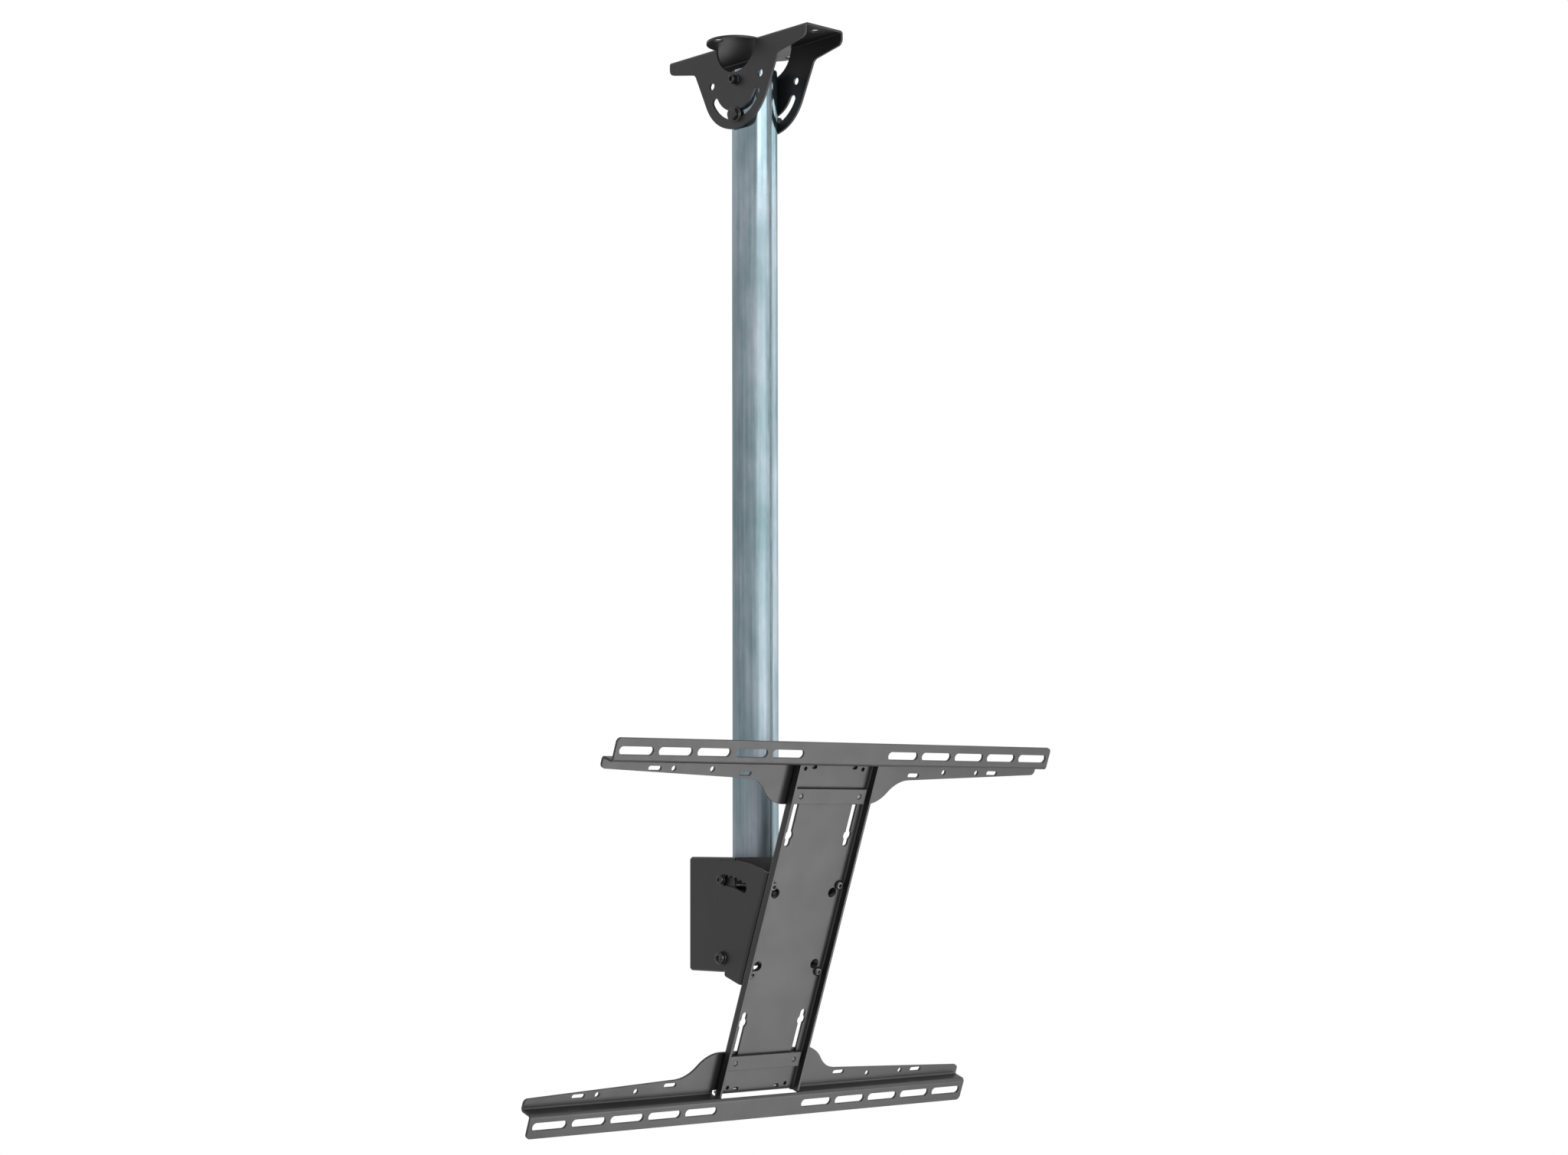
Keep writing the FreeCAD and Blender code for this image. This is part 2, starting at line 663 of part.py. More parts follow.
def buildTiltScrews():
    """Pivot and lock screws through the tilt plates into the head box"""
    thick = WASHER_THICK
    pairs = (("tilt_pivot", size("tiltPivotScrew"), 0.0, 14.0, 5.0),
             ("tilt_lock", size("tiltLockScrew"), size("tiltLockRadius"),
              10.5, 4.0))
    for label, thread, z, headWide, key in pairs:
        screws, plates, nuts = [], [], []
        for side, turn in ((-1, TURNS["+X"]), (1, TURNS["-X"])):
            name = label.title().replace("_", "") + ("L" if side < 0 else "R")
            ahead = -size("tiltPivotAhead")
            nutHigh = standard(NUT_HIGH, thread)
            grip = tiltOuter + thick - headInner + nutHigh + 1.5
            seat = (side * (tiltOuter + thick), ahead, z)
            screws.append(socketScrew(name + "Screw", seat, turn, thread,
                                      thread * 0.55, headWide, key, grip))
            plates.append(washer(name + "Washer", (side * tiltOuter, ahead, z),
                                 TURNS["-X"] if side < 0 else TURNS["+X"],
                                 thread + 0.2, headWide + 1.5, thick))
            nuts.append(hexNut(name + "Nut", (side * headInner, ahead, z),
                               turn, thread, nutHigh,
                               standard(NUT_ACROSS, thread)))
        group(label + "_screws", screws, headFrame)
        group(label + "_washers", plates, headFrame)
        group(label + "_nuts", nuts, headFrame)


def tiltPlateLoop():
    """Side of the tilt bracket in the frame of the tilted screen"""
    front = size("columnBack")
    low = -size("tiltHeight") / 2
    pivotY, pivotHigh = size("tiltPivotDepth"), -size("tiltPivotLow")
    rear = size("tiltRear")
    lean = math.radians(size("tiltAngle"))
    crown = size("tiltTopRadius")
    crownY = front + 12
    crownZ = -low - crown + 0.8
    heelY = pivotY - 0.68 * rear
    heelZ = pivotHigh - math.sqrt(rear ** 2 - (pivotY - heelY) ** 2)
    # the rear edge is upright while the screen leans, clear of the lock screw
    around = Vector(pivotY + rear * math.cos(lean),
                    pivotHigh - rear * math.sin(lean), 0)
    rise = 1.05 * size("tiltLockRadius") + 10
    shoulder = Vector(around.x + rise * math.sin(lean),
                      around.y + rise * math.cos(lean), 0)
    topRear = Vector(shoulder.x - 8.0, 0, 0)
    topRear.y = crownZ + math.sqrt(crown ** 2 - (topRear.x - crownY) ** 2)
    topFront = Vector(front, 0, 0)
    topFront.y = crownZ + math.sqrt(crown ** 2 - (front - crownY) ** 2)
    topMiddle = Vector(crownY, crownZ + crown, 0)
    under = polar((pivotY, pivotHigh), rear, -55)
    blend = (shoulder + topRear) * 0.5 + Vector(1.9, 2.3, 0)
    corner = 3.0
    return [
        Part.Arc(topFront, topMiddle, topRear),
        Part.Arc(topRear, blend, shoulder),
        Part.LineSegment(shoulder, around),
        Part.Arc(around, under, Vector(heelY, heelZ, 0)),
        Part.LineSegment(Vector(heelY, heelZ, 0), Vector(heelY, low + corner, 0)),
        Part.Arc(Vector(heelY, low + corner, 0),
                 Vector(heelY - corner * 0.293, low + corner * 0.293, 0),
                 Vector(heelY - corner, low, 0)),
        Part.LineSegment(Vector(heelY - corner, low, 0), Vector(front, low, 0)),
        Part.LineSegment(Vector(front, low, 0), topFront)]


def buildTiltBracket():
    body = makeBody("TiltBracket")
    body.Placement = screenFrame
    gauge = size("frameSheet")
    bend = size("tiltBend")
    front = size("columnBack")
    rearEnd = front + 110
    plan = roundedLoop([
        (-tiltOuter, rearEnd), (-tiltOuter, front, bend),
        (tiltOuter, front, bend), (tiltOuter, rearEnd), (tiltInner, rearEnd),
        (tiltInner, front + gauge, bend - gauge),
        (-tiltInner, front + gauge, bend - gauge), (-tiltInner, rearEnd)])
    shape = addSketch(body, "XY_Plane", [plan], name="PlanSection")
    addPad(body, shape, "2 * Sizes.tiltHeight", True, "FoldedPlate")
    trimOutside(body, "YZ_Plane", [tiltPlateLoop()], 400.0)

    # running band of the lock slot, with the indexing lobes on its far side
    pivot = (size("tiltPivotDepth"), -size("tiltPivotLow"))
    radius = size("tiltLockRadius")
    lock = size("tiltLockScrew")
    upright = 90 - size("tiltAngle")
    steps = int(round((size("tiltAngle") + size("tiltStep")) / size("tiltStep")))
    last = upright + steps * size("tiltStep")
    inner = radius - size("tiltSlotInner")
    outer = radius + size("tiltSlotOuter")
    band = arcSlotLoop(pivot, (inner + outer) / 2, outer - inner, upright, last)
    hole = circleLoop(pivot[0], pivot[1],
                      size("tiltPivotScrew") + 2 * size("shaftPlay"))
    addPocket(body, addSketch(body, "YZ_Plane", [band, hole], name="TiltSlot"),
              name="TiltOpenings")
    lobes = []
    for step in range(steps + 1):
        spot = polar(pivot, outer + size("tiltLobe") - lock / 2,
                     upright + step * size("tiltStep"))
        lobes.append(circleLoop(spot.x, spot.y, lock))
    addPocket(body, addSketch(body, "YZ_Plane", lobes, name="LobeShape"),
              name="Lobes")

    # front holes for the column bolts and for a key to reach inside
    holes = []
    for x in (size("toolHoleX"), -size("toolHoleX")):
        for z in (size("toolHoleZ"), -size("toolHoleZ")):
            holes.append(circleLoop(x, z, size("toolHole")))
    for x in (size("columnBoltX"), -size("columnBoltX")):
        for z in (size("columnBoltZ"), -size("columnBoltZ")):
            holes.append(circleLoop(x, z, size("columnBolt") + 0.4))
    addPocket(body, addSketch(body, "XZ_Plane", holes, name="FrontHoles"),
              "4 * Sizes.columnBack", True, name="FrontOpenings")
    return keep(body, "tilt_bracket")


def buildColumn():
    """Channel folded towards the screen, with guide slots for the arms"""
    body = makeBody("Column")
    body.Placement = screenFrame
    gauge = size("frameSheet")
    bend = size("columnBend")
    back = size("columnBack")
    open_ = back - size("columnFlange")
    outer = size("columnWidth") / 2
    inner = outer - gauge
    plan = roundedLoop([
        (-outer, open_), (-outer, back, bend), (outer, back, bend),
        (outer, open_), (inner, open_), (inner, back - gauge, bend - gauge),
        (-inner, back - gauge, bend - gauge), (-inner, open_)])
    shape = addSketch(body, "XY_Plane", [plan], name="ChannelSection")
    addPad(body, shape, "Sizes.columnLength", True, "Channel")

    # each end of the face is folded back into a short lip
    half = size("columnLength") / 2
    lipHalf = outer - bend - 1
    lips = []
    for sign in (1, -1):
        lips.append(roundedLoop([
            (back - gauge, sign * (half - 12)), (back - gauge, sign * half, bend),
            (back + size("columnLip"), sign * half),
            (back + size("columnLip"), sign * (half - gauge)),
            (back, sign * (half - gauge), bend - gauge),
            (back, sign * (half - 12))]))
    corner = rectangleLoop(-lipHalf, half - bend, lipHalf, half + 1)
    lower = rectangleLoop(-lipHalf, -half - 1, lipHalf, -half + bend)
    addPocket(body, addSketch(body, "XZ_Plane", [corner, lower], name="Ends"),
              name="EndTrim")
    shape = addSketch(body, "YZ_Plane", lips, name="LipShape")
    addPad(body, shape, "%f" % (2 * lipHalf), True, "Lips")

    loops = []
    for x in (size("guideX"), -size("guideX")):
        for sign in (1, -1):
            far = sign * (size("barZ") + size("guideWidth") / 2 + 1)
            near = sign * size("guideInner")
            loops.append(keyholeLoop(x, near, far, sign))
    for x in (size("toolHoleX"), -size("toolHoleX")):
        for z in (size("toolHoleZ"), -size("toolHoleZ")):
            loops.append(circleLoop(x, z, size("toolHole")))
    for x in (size("columnBoltX"), -size("columnBoltX")):
        for z in (size("columnBoltZ"), -size("columnBoltZ")):
            loops.append(circleLoop(x, z, size("columnBolt") + 0.4))
    for sign in (1, -1):
        for side in (1, -1):
            eyeZ = sign * (half - 8.2)
            slotZ = sign * (half - 5.7 - 0.6)
            loops.append(circleLoop(side * (size("guideX") - 0.6), eyeZ,
                                    size("endEye")))
            loops.append(slotLoop(side * (size("guideX") - 13.1), slotZ,
                                  size("endSlot"), size("endEye") - 0.5))
    addPocket(body, addSketch(body, "XZ_Plane", loops, name="FaceHoles"),
              name="FaceOpenings")
    return keep(body, "column")


def keyholeLoop(x, near, far, sign):
    """Guide slot with a round eye, drawn as one outline"""
    half = size("guideWidth") / 2
    eye = size("guideEye") / 2
    eyeZ = sign * size("guideEyeZ")
    step = math.sqrt(eye ** 2 - half ** 2)
    inner, outer = eyeZ - sign * step, eyeZ + sign * step
    tipIn = near + sign * half
    tipOut = far - sign * half
    return [
        Part.Arc(Vector(x - half, tipIn, 0), Vector(x, near, 0),
                 Vector(x + half, tipIn, 0)),
        Part.LineSegment(Vector(x + half, tipIn, 0),
                         Vector(x + half, inner, 0)),
        Part.Arc(Vector(x + half, inner, 0), Vector(x + eye, eyeZ, 0),
                 Vector(x + half, outer, 0)),
        Part.LineSegment(Vector(x + half, outer, 0),
                         Vector(x + half, tipOut, 0)),
        Part.Arc(Vector(x + half, tipOut, 0), Vector(x, far, 0),
                 Vector(x - half, tipOut, 0)),
        Part.LineSegment(Vector(x - half, tipOut, 0),
                         Vector(x - half, outer, 0)),
        Part.Arc(Vector(x - half, outer, 0), Vector(x - eye, eyeZ, 0),
                 Vector(x - half, inner, 0)),
        Part.LineSegment(Vector(x - half, inner, 0),
                         Vector(x - half, tipIn, 0))]


def buildColumnFasteners():
    back = size("columnBack")
    gauge = size("frameSheet")
    thread = size("columnBolt")
    nutHigh = standard(NUT_HIGH, thread)
    screws, plates, nuts = [], [], []
    for x in (size("columnBoltX"), -size("columnBoltX")):
        for z in (size("columnBoltZ"), -size("columnBoltZ")):
            rear = back + gauge
            seat = (x, back - gauge, z)
            grip = 2 * gauge + WASHER_THICK + nutHigh + 1.5
            screws.append(socketScrew("ColumnScrew", seat, TURNS["+Y"], thread,
                                      3.3, 10.4, 4.0, grip))
            plates.append(washer("ColumnWasher", (x, rear, z), TURNS["+Y"],
                                 thread + 0.2, 11.0, WASHER_THICK))
            spot = (x, rear + WASHER_THICK, z)
            nuts.append(hexNut("ColumnNut", spot, TURNS["+Y"], thread, nutHigh,
                               standard(NUT_ACROSS, thread)))
    group("column_screws", screws, screenFrame)
    group("column_washers", plates, screenFrame)
    group("column_nuts", nuts, screenFrame)


def rearOffcutLoop(sign):
    """Cut from the rear flange: little at the tips, nothing over the column"""
    half = size("armLength") / 2
    top = sign * (size("rowHalf") - size("armFlange") / 2)
    tip = top - sign * size("rearTip")
    root = top - sign * size("rearRoot")
    deep = top - sign * size("rearDeep")
    outerX, innerX = size("gussetOuter"), size("gussetInner")
    run, drop = outerX - innerX, abs(deep - root)
    radius = (run ** 2 + drop ** 2) / (4 * drop)
    swing = math.asin(run / 2 / radius)
    middle = Vector((outerX + innerX) / 2, (root + deep) / 2, 0)
    first = Vector(outerX - radius * math.sin(swing / 2),
                   root - sign * radius * (1 - math.cos(swing / 2)), 0)
    second = Vector(innerX + radius * math.sin(swing / 2),
                    deep + sign * radius * (1 - math.cos(swing / 2)), 0)
    corner = 5.0
    beyond = deep - sign * 6.0
    side = [
        Part.LineSegment(Vector(0, beyond, 0), Vector(half + 4, beyond, 0)),
        Part.LineSegment(Vector(half + 4, beyond, 0),
                         Vector(half + 4, tip + sign * corner, 0)),
        Part.LineSegment(Vector(half + 4, tip + sign * corner, 0),
                         Vector(half, tip + sign * corner, 0)),
        Part.Arc(Vector(half, tip + sign * corner, 0),
                 Vector(half - corner * 0.293, tip + sign * corner * 0.293, 0),
                 Vector(half - corner, tip, 0)),
        Part.LineSegment(Vector(half - corner, tip, 0),
                         Vector(outerX, root, 0)),
        Part.Arc(Vector(outerX, root, 0), first, middle),
        Part.Arc(middle, second, Vector(innerX, deep, 0)),
        Part.LineSegment(Vector(innerX, deep, 0), Vector(0, deep, 0))]
    return side + [mirrored(piece) for piece in side]


def buildArm(label, sign):
    """One folded sheet: slotted flange, web going back, gusseted flange"""
    body = makeBody(label.title().replace("_", ""))
    body.Placement = screenFrame
    gauge = size("frameSheet")
    bend = size("armBend")
    half = size("armLength") / 2
    back = size("columnBack") + gauge
    row = size("rowHalf")
    far = row + size("armFlange") / 2
    web = row - size("armFlange") / 2
    deep = web - size("rearDeep")
    inside = bend - gauge
    section = roundedLoop([
        (0, sign * far), (gauge, sign * far),
        (gauge, sign * (web + gauge), inside),
        (back, sign * (web + gauge), bend), (back, sign * deep),
        (back - gauge, sign * deep), (back - gauge, sign * web, inside),
        (0, sign * web, bend)])
    shape = addSketch(body, "YZ_Plane", [section], name="FoldedSection")
    addPad(body, shape, "Sizes.armLength", True, "FoldedSheet")

    # outline of the rear flange, cut from behind only
    shape = addSketch(body, "XZ_Plane", [rearOffcutLoop(sign)], -(back + 1),
                      "RearShape")
    addPocket(body, shape, "Sizes.frameSheet + 1 + 0.4", False, True,
              name="RearOutline")

    # the web is cleared over the column, with round ends
    gap = size("columnWidth") / 2 + size("webGap")
    clear = slotCorners(-gap, gap, gauge, back + 1, 1.6)
    lipRoot = size("columnLength") / 2 - size("columnBend")
    shape = addSketch(body, "XY_Plane", [clear],
                      sign * min(web - bend, lipRoot - 0.5), "WebGap")
    addPocket(body, shape, "3 * Sizes.armBend", False, sign > 0,
              name="WebOpening")

    # rounded ends of the slotted flange
    ends = [rectangleLoop(-half - 6, sign * (web - 8), half + 6,
                          sign * (far + 6)),
            rectangleLoop(-half, sign * (web - 7), half, sign * far, 5.0)]
    addPocket(body, addSketch(body, "XZ_Plane", ends, -gauge - 0.2, "Corners"),
              "Sizes.frameSheet + 2", False, True, name="FlangeEnds")

    slots = []
    for index in range(5):
        x = size("slotFirst") + index * size("slotPitch")
        for side in (1, -1):
            slots.append(slotLoop(side * x, sign * row, size("slotLength"),
                                  size("slotHeight")))
    shape = addSketch(body, "XZ_Plane", slots, name="ScreenSlots")
    addPocket(body, shape, name="ScreenOpenings")

    rear = []
    height = sign * (web - 9.7)
    for side in (1, -1):
        for x in (size("rearHoleOuter"), size("rearHoleInner")):
            rear.append(circleLoop(side * x, height, 6.0))
        rear.append(slotLoop(side * size("rearSlotX"), height,
                             size("rearSlot"), 5.0))
        rear.append(slotLoop(side * size("gussetSlotX"),
                             height - sign * 4.0, size("rearSlot"), 5.0))
        rear.append(circleLoop(side * (size("guideX") - 0.2),
                               sign * size("barZ"), size("clampScrew") + 0.4))
    shape = addSketch(body, "XZ_Plane", rear, -(back + 1), "RearHoles")
    addPocket(body, shape, "Sizes.frameSheet + 2", False, True,
              name="RearOpenings")
    return keep(body, label)


def slotCorners(x0, x1, y0, y1, radius):
    return roundedLoop([(x0, y0, radius), (x1, y0, radius), (x1, y1), (x0, y1)])


def buildClampBar(name, sign):
    """Bar inside the column that pinches its face against the arm"""
    gauge = size("frameSheet")
    faceY = size("columnBack") - gauge
    half, high = size("barHalf"), size("barHeight")
    x = size("guideX") - 0.2
    bar = primitive("Box", name + "Blank", Length=2 * half, Width="Sizes.barThick",
                    Height="Sizes.barHeight")
    place(bar, -half, faceY - size("barThick"),
          sign * size("barZ") - high / 2)
    drills = []
    for side in (1, -1):
        drill = primitive("Cylinder", name + "Thread",
                          Radius="Sizes.clampScrew / 2",
                          Height=4 * size("barThick"))
        drills.append(place(drill, side * x, faceY - 2 * size("barThick"),
                            sign * size("barZ"), TURNS["+Y"]))
    group(name + "_clamp_bar",
          [cut(name + "Bar", bar, fuse(name + "Threads", drills))], screenFrame)
    screws, plates = [], []
    rear = size("columnBack") + gauge
    thick = WASHER_THICK
    grip = rear + thick - (faceY - size("barThick")) - 0.6
    for side in (1, -1):
        seat = (side * x, rear + thick, sign * size("barZ"))
        screws.append(hexBolt(name + "ClampScrew", seat, TURNS["-Y"],
                              size("clampScrew"), 4.0, 10.0, grip))
        spot = (side * x, rear, sign * size("barZ"))
        plates.append(washer(name + "ClampWasher", spot, TURNS["+Y"],
                             size("clampScrew") + 0.2,
                             standard(WASHER_WIDE, size("clampScrew")), thick))
    group(name + "_clamp_screws", screws, screenFrame)
    group(name + "_clamp_washers", plates, screenFrame)


buildCeilingBracket()
buildCeilingFasteners()
buildPole()
buildHeadBox()
buildPoleClamps()
buildTiltScrews()
buildTiltBracket()
buildColumn()
buildColumnFasteners()
buildArm("upper_arm", 1)
buildArm("lower_arm", -1)
buildClampBar("upper", 1)
buildClampBar("lower", -1)
doc.recompute()

for item in doc.Objects:
    if "Invalid" in item.State or "Error" in item.State:
        raise RuntimeError("%s did not rebuild" % item.Label)
for node in nodes:
    if node.Shape.isNull() or not node.Shape.isValid():
        raise RuntimeError("%s has no valid shape" % node.Label)
for node in nodes:
    node.Shape.exportStep("parts/%s.step" % node.Label)
    print("%-22s %2d solids %9.0f mm3" % (node.Label, len(node.Shape.Solids),
                                          node.Shape.Volume))
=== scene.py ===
import json
import math
import bmesh
import bpy
from mathutils import Matrix, Vector

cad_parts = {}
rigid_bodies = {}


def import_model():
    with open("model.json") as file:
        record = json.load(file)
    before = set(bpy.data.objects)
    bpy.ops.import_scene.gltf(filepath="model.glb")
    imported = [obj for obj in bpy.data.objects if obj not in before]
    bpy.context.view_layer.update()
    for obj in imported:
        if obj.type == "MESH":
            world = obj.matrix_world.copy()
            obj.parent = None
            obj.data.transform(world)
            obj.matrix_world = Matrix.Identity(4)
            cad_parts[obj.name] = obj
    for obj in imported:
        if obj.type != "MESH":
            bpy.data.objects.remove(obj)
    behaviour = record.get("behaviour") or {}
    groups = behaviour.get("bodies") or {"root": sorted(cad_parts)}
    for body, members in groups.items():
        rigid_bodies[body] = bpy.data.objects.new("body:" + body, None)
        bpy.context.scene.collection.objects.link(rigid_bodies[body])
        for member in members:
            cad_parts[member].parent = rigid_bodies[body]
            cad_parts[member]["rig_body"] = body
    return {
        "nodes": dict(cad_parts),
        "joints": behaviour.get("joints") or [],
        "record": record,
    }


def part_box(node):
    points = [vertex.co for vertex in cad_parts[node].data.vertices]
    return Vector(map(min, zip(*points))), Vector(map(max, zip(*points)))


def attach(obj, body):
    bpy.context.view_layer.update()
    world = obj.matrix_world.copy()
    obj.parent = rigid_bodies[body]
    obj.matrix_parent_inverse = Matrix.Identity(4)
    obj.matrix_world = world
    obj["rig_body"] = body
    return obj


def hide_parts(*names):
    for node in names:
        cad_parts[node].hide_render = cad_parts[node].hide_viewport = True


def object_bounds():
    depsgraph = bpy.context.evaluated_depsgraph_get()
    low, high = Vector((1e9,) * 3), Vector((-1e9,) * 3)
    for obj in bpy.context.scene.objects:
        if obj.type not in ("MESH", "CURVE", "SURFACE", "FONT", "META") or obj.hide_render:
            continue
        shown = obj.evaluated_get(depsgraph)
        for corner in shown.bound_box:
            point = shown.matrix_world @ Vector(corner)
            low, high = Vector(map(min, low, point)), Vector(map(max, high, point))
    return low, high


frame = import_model()
nodes = frame["nodes"]
cadBox = [list(corner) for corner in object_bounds()]
print("frame loaded:", len(nodes), "nodes")


def placeInScene(name, data):
    item = bpy.data.objects.new(name, data)
    bpy.context.scene.collection.objects.link(item)
    return item


# Node helpers for the materials

def newMaterial(name):
    material = bpy.data.materials.new(name)
    material.use_nodes = True
    tree = material.node_tree
    shader = tree.nodes["Principled BSDF"]
    return material, tree, shader


def addNode(tree, kind, **settings):
    node = tree.nodes.new(kind)
    for key, value in settings.items():
        setattr(node, key, value)
    return node


def setSocket(node, name, value):
    node.inputs[name].default_value = value


def combine(tree, operation, first, second):
    node = addNode(tree, "ShaderNodeMath", operation=operation)
    tree.links.new(first, node.inputs[0])
    tree.links.new(second, node.inputs[1])
    return node.outputs[0]


def objectCoords(tree, stretch=(1, 1, 1)):
    coords = addNode(tree, "ShaderNodeTexCoord")
    mapping = addNode(tree, "ShaderNodeMapping")
    setSocket(mapping, "Scale", stretch)
    tree.links.new(coords.outputs["Object"], mapping.inputs["Vector"])
    return mapping.outputs["Vector"]


def noise(tree, vector, scale, detail, rough):
    node = addNode(tree, "ShaderNodeTexNoise")
    setSocket(node, "Scale", scale)
    setSocket(node, "Detail", detail)
    setSocket(node, "Roughness", rough)
    tree.links.new(vector, node.inputs["Vector"])
    return node.outputs["Fac"]


def spread(tree, value, low, high, fromLow=0.3, fromHigh=0.7, way="LINEAR"):
    node = addNode(tree, "ShaderNodeMapRange", interpolation_type=way)
    setSocket(node, "From Min", fromLow)
    setSocket(node, "From Max", fromHigh)
    setSocket(node, "To Min", low)
    setSocket(node, "To Max", high)
    tree.links.new(value, node.inputs["Value"])
    return node.outputs["Result"]


def ramp(tree, value, stops):
    node = addNode(tree, "ShaderNodeValToRGB")
    band = node.color_ramp
    while len(band.elements) < len(stops):
        band.elements.new(0.5)
    for element, (place, colour) in zip(band.elements, stops):
        element.position = place
        element.color = (*colour, 1.0)
    tree.links.new(value, node.inputs["Fac"])
    return node.outputs["Color"]


def bump(tree, height, strength, distance, normal=None):
    node = addNode(tree, "ShaderNodeBump")
    setSocket(node, "Strength", strength)
    setSocket(node, "Distance", distance)
    tree.links.new(height, node.inputs["Height"])
    if normal:
        tree.links.new(normal, node.inputs["Normal"])
    return node.outputs["Normal"]


def softEdges(tree, width):
    node = addNode(tree, "ShaderNodeBevel", samples=6)
    setSocket(node, "Radius", width)
    return node.outputs["Normal"]


# Wear and a painted highlight on outer edges, for the coat and the screws: the rims are toned
# lighter; each noise is a scale, detail and roughness

scuffAndSheenRim = {
    "edgeFrom": 0.75,          # cosine between the soft normal and the flat one
    "edgeTo": 0.97,
    "patches": (90.0, 5.0, 0.65),
    "patchFrom": 0.42,
    "patchTo": 0.62,
}


def scuffAndSheenColour(tree, coords, softNormal, colour, size):
    # the lighter rim tone, partly wear and partly painted highlight, shows where the soft normal
    # leaves the flat one, broken up by a noise
    geometry = addNode(tree, "ShaderNodeNewGeometry")
    turn = addNode(tree, "ShaderNodeVectorMath", operation="DOT_PRODUCT")
    tree.links.new(geometry.outputs["Normal"], turn.inputs[0])
    tree.links.new(softNormal, turn.inputs[1])
    edge = spread(tree, turn.outputs["Value"], 1.0, 0.0, scuffAndSheenRim["edgeFrom"], scuffAndSheenRim["edgeTo"])
    broken = spread(tree, noise(tree, coords, *scuffAndSheenRim["patches"]), 0.0, size["scuffAndSheenShare"],
                    scuffAndSheenRim["patchFrom"], scuffAndSheenRim["patchTo"])
    mixed = addNode(tree, "ShaderNodeMix", data_type="RGBA")
    tree.links.new(combine(tree, "MULTIPLY", edge, broken), mixed.inputs[0])
    tree.links.new(colour, mixed.inputs[6])                    # colour A
    mixed.inputs[7].default_value = (*size["scuffAndSheen"], 1.0)       # colour B, the lighter rim tone: wear and painted highlight
    return mixed.outputs[2]


def coatedMaterial(name, size):
    material, tree, shader = newMaterial(name)
    coords = objectCoords(tree)
    colour = ramp(tree, noise(tree, coords, *size["cloud"]), size["tones"])
    softNormal = softEdges(tree, size["edgeWidth"])
    # base colour with lighter rims, partly wear and partly painted highlight
    tree.links.new(scuffAndSheenColour(tree, coords, softNormal, colour, size), shader.inputs["Base Color"])
    roughCloud = noise(tree, coords, *size["roughCloud"])
    tree.links.new(spread(tree, roughCloud, size["roughLow"], size["roughHigh"]),
                   shader.inputs["Roughness"])
    grain = noise(tree, coords, *size["grain"])
    tree.links.new(bump(tree, grain, size["grainStrength"], size["grainHeight"], softNormal),
                   shader.inputs["Normal"])
    setSocket(shader, "Metallic", size["metal"])
    setSocket(shader, "Specular IOR Level", size["specular"])
    return material


# Black powder coat on the folded sheets

powderCoat = {
    "tones": [(0.35, (0.0085, 0.0085, 0.009)), (0.65, (0.0125, 0.0125, 0.013))],
    "cloud": (14.0, 4.0, 0.55),            # slow change of tone over a sheet
    "scuffAndSheen": (0.055, 0.055, 0.057),         # thin coat on the outer edges, lighter also as a painted highlight on the rims
    "scuffAndSheenShare": 0.5,
    "roughLow": 0.40,
    "roughHigh": 0.45,
    "roughCloud": (35.0, 4.0, 0.6),
    "grain": (1500.0, 2.0, 0.5),           # fine orange peel, under a millimetre
    "grainStrength": 0.35,
    "grainHeight": 0.00002,
    "edgeWidth": 0.0006,       # soft rim where the coat rounds each cut edge
    "metal": 0.0,
    "specular": 0.42,
}


# Black screws, a little glossier than the sheets

blackScrew = {
    "tones": [(0.35, (0.02, 0.02, 0.021)), (0.7, (0.055, 0.055, 0.057))],
    "cloud": (220.0, 3.0, 0.5),
    "scuffAndSheen": (0.42, 0.42, 0.43),            # bare metal on rims and corners, lighter also as a painted highlight there
    "scuffAndSheenShare": 1.0,
    "roughLow": 0.16,
    "roughHigh": 0.28,
    "roughCloud": (500.0, 3.0, 0.5),
    "grain": (2500.0, 3.0, 0.5),
    "grainStrength": 0.2,
    "grainHeight": 0.00001,
    "edgeWidth": 0.0007,
    "metal": 0.75,
    "specular": 0.5,
}


# Galvanised tube: blue-grey, streaked along its length, patchy

galvanised = {
    "tones": [(0.1, (0.11, 0.17, 0.185)), (0.5, (0.20, 0.255, 0.285)), (0.9, (0.32, 0.35, 0.395))],
    "streaks": (260.0, 3.0, 0.5),
    "streakStretch": (1, 1, 0.02),         # long along the tube
    "streakShare": 0.35,                   # the rest of the tone comes from the patches
    "patches": (26.0, 4.0, 0.6),
    "patchStretch": (1, 1, 0.35),
    "streakStrength": 0.12,
    "streakHeight": 0.0001,
    "roughLow": 0.36,
    "roughHigh": 0.44,
    "metalLow": 0.5,
    "metalHigh": 0.95,
    "lustreFrom": -0.26,       # the tube is brighter polished at its upper end
    "lustreTo": -0.08,
    "lustreRough": 0.35,       # share of the roughness that is left there
    "specular": 0.3,
    "tint": (0.55, 0.68, 0.72, 1.0),
}


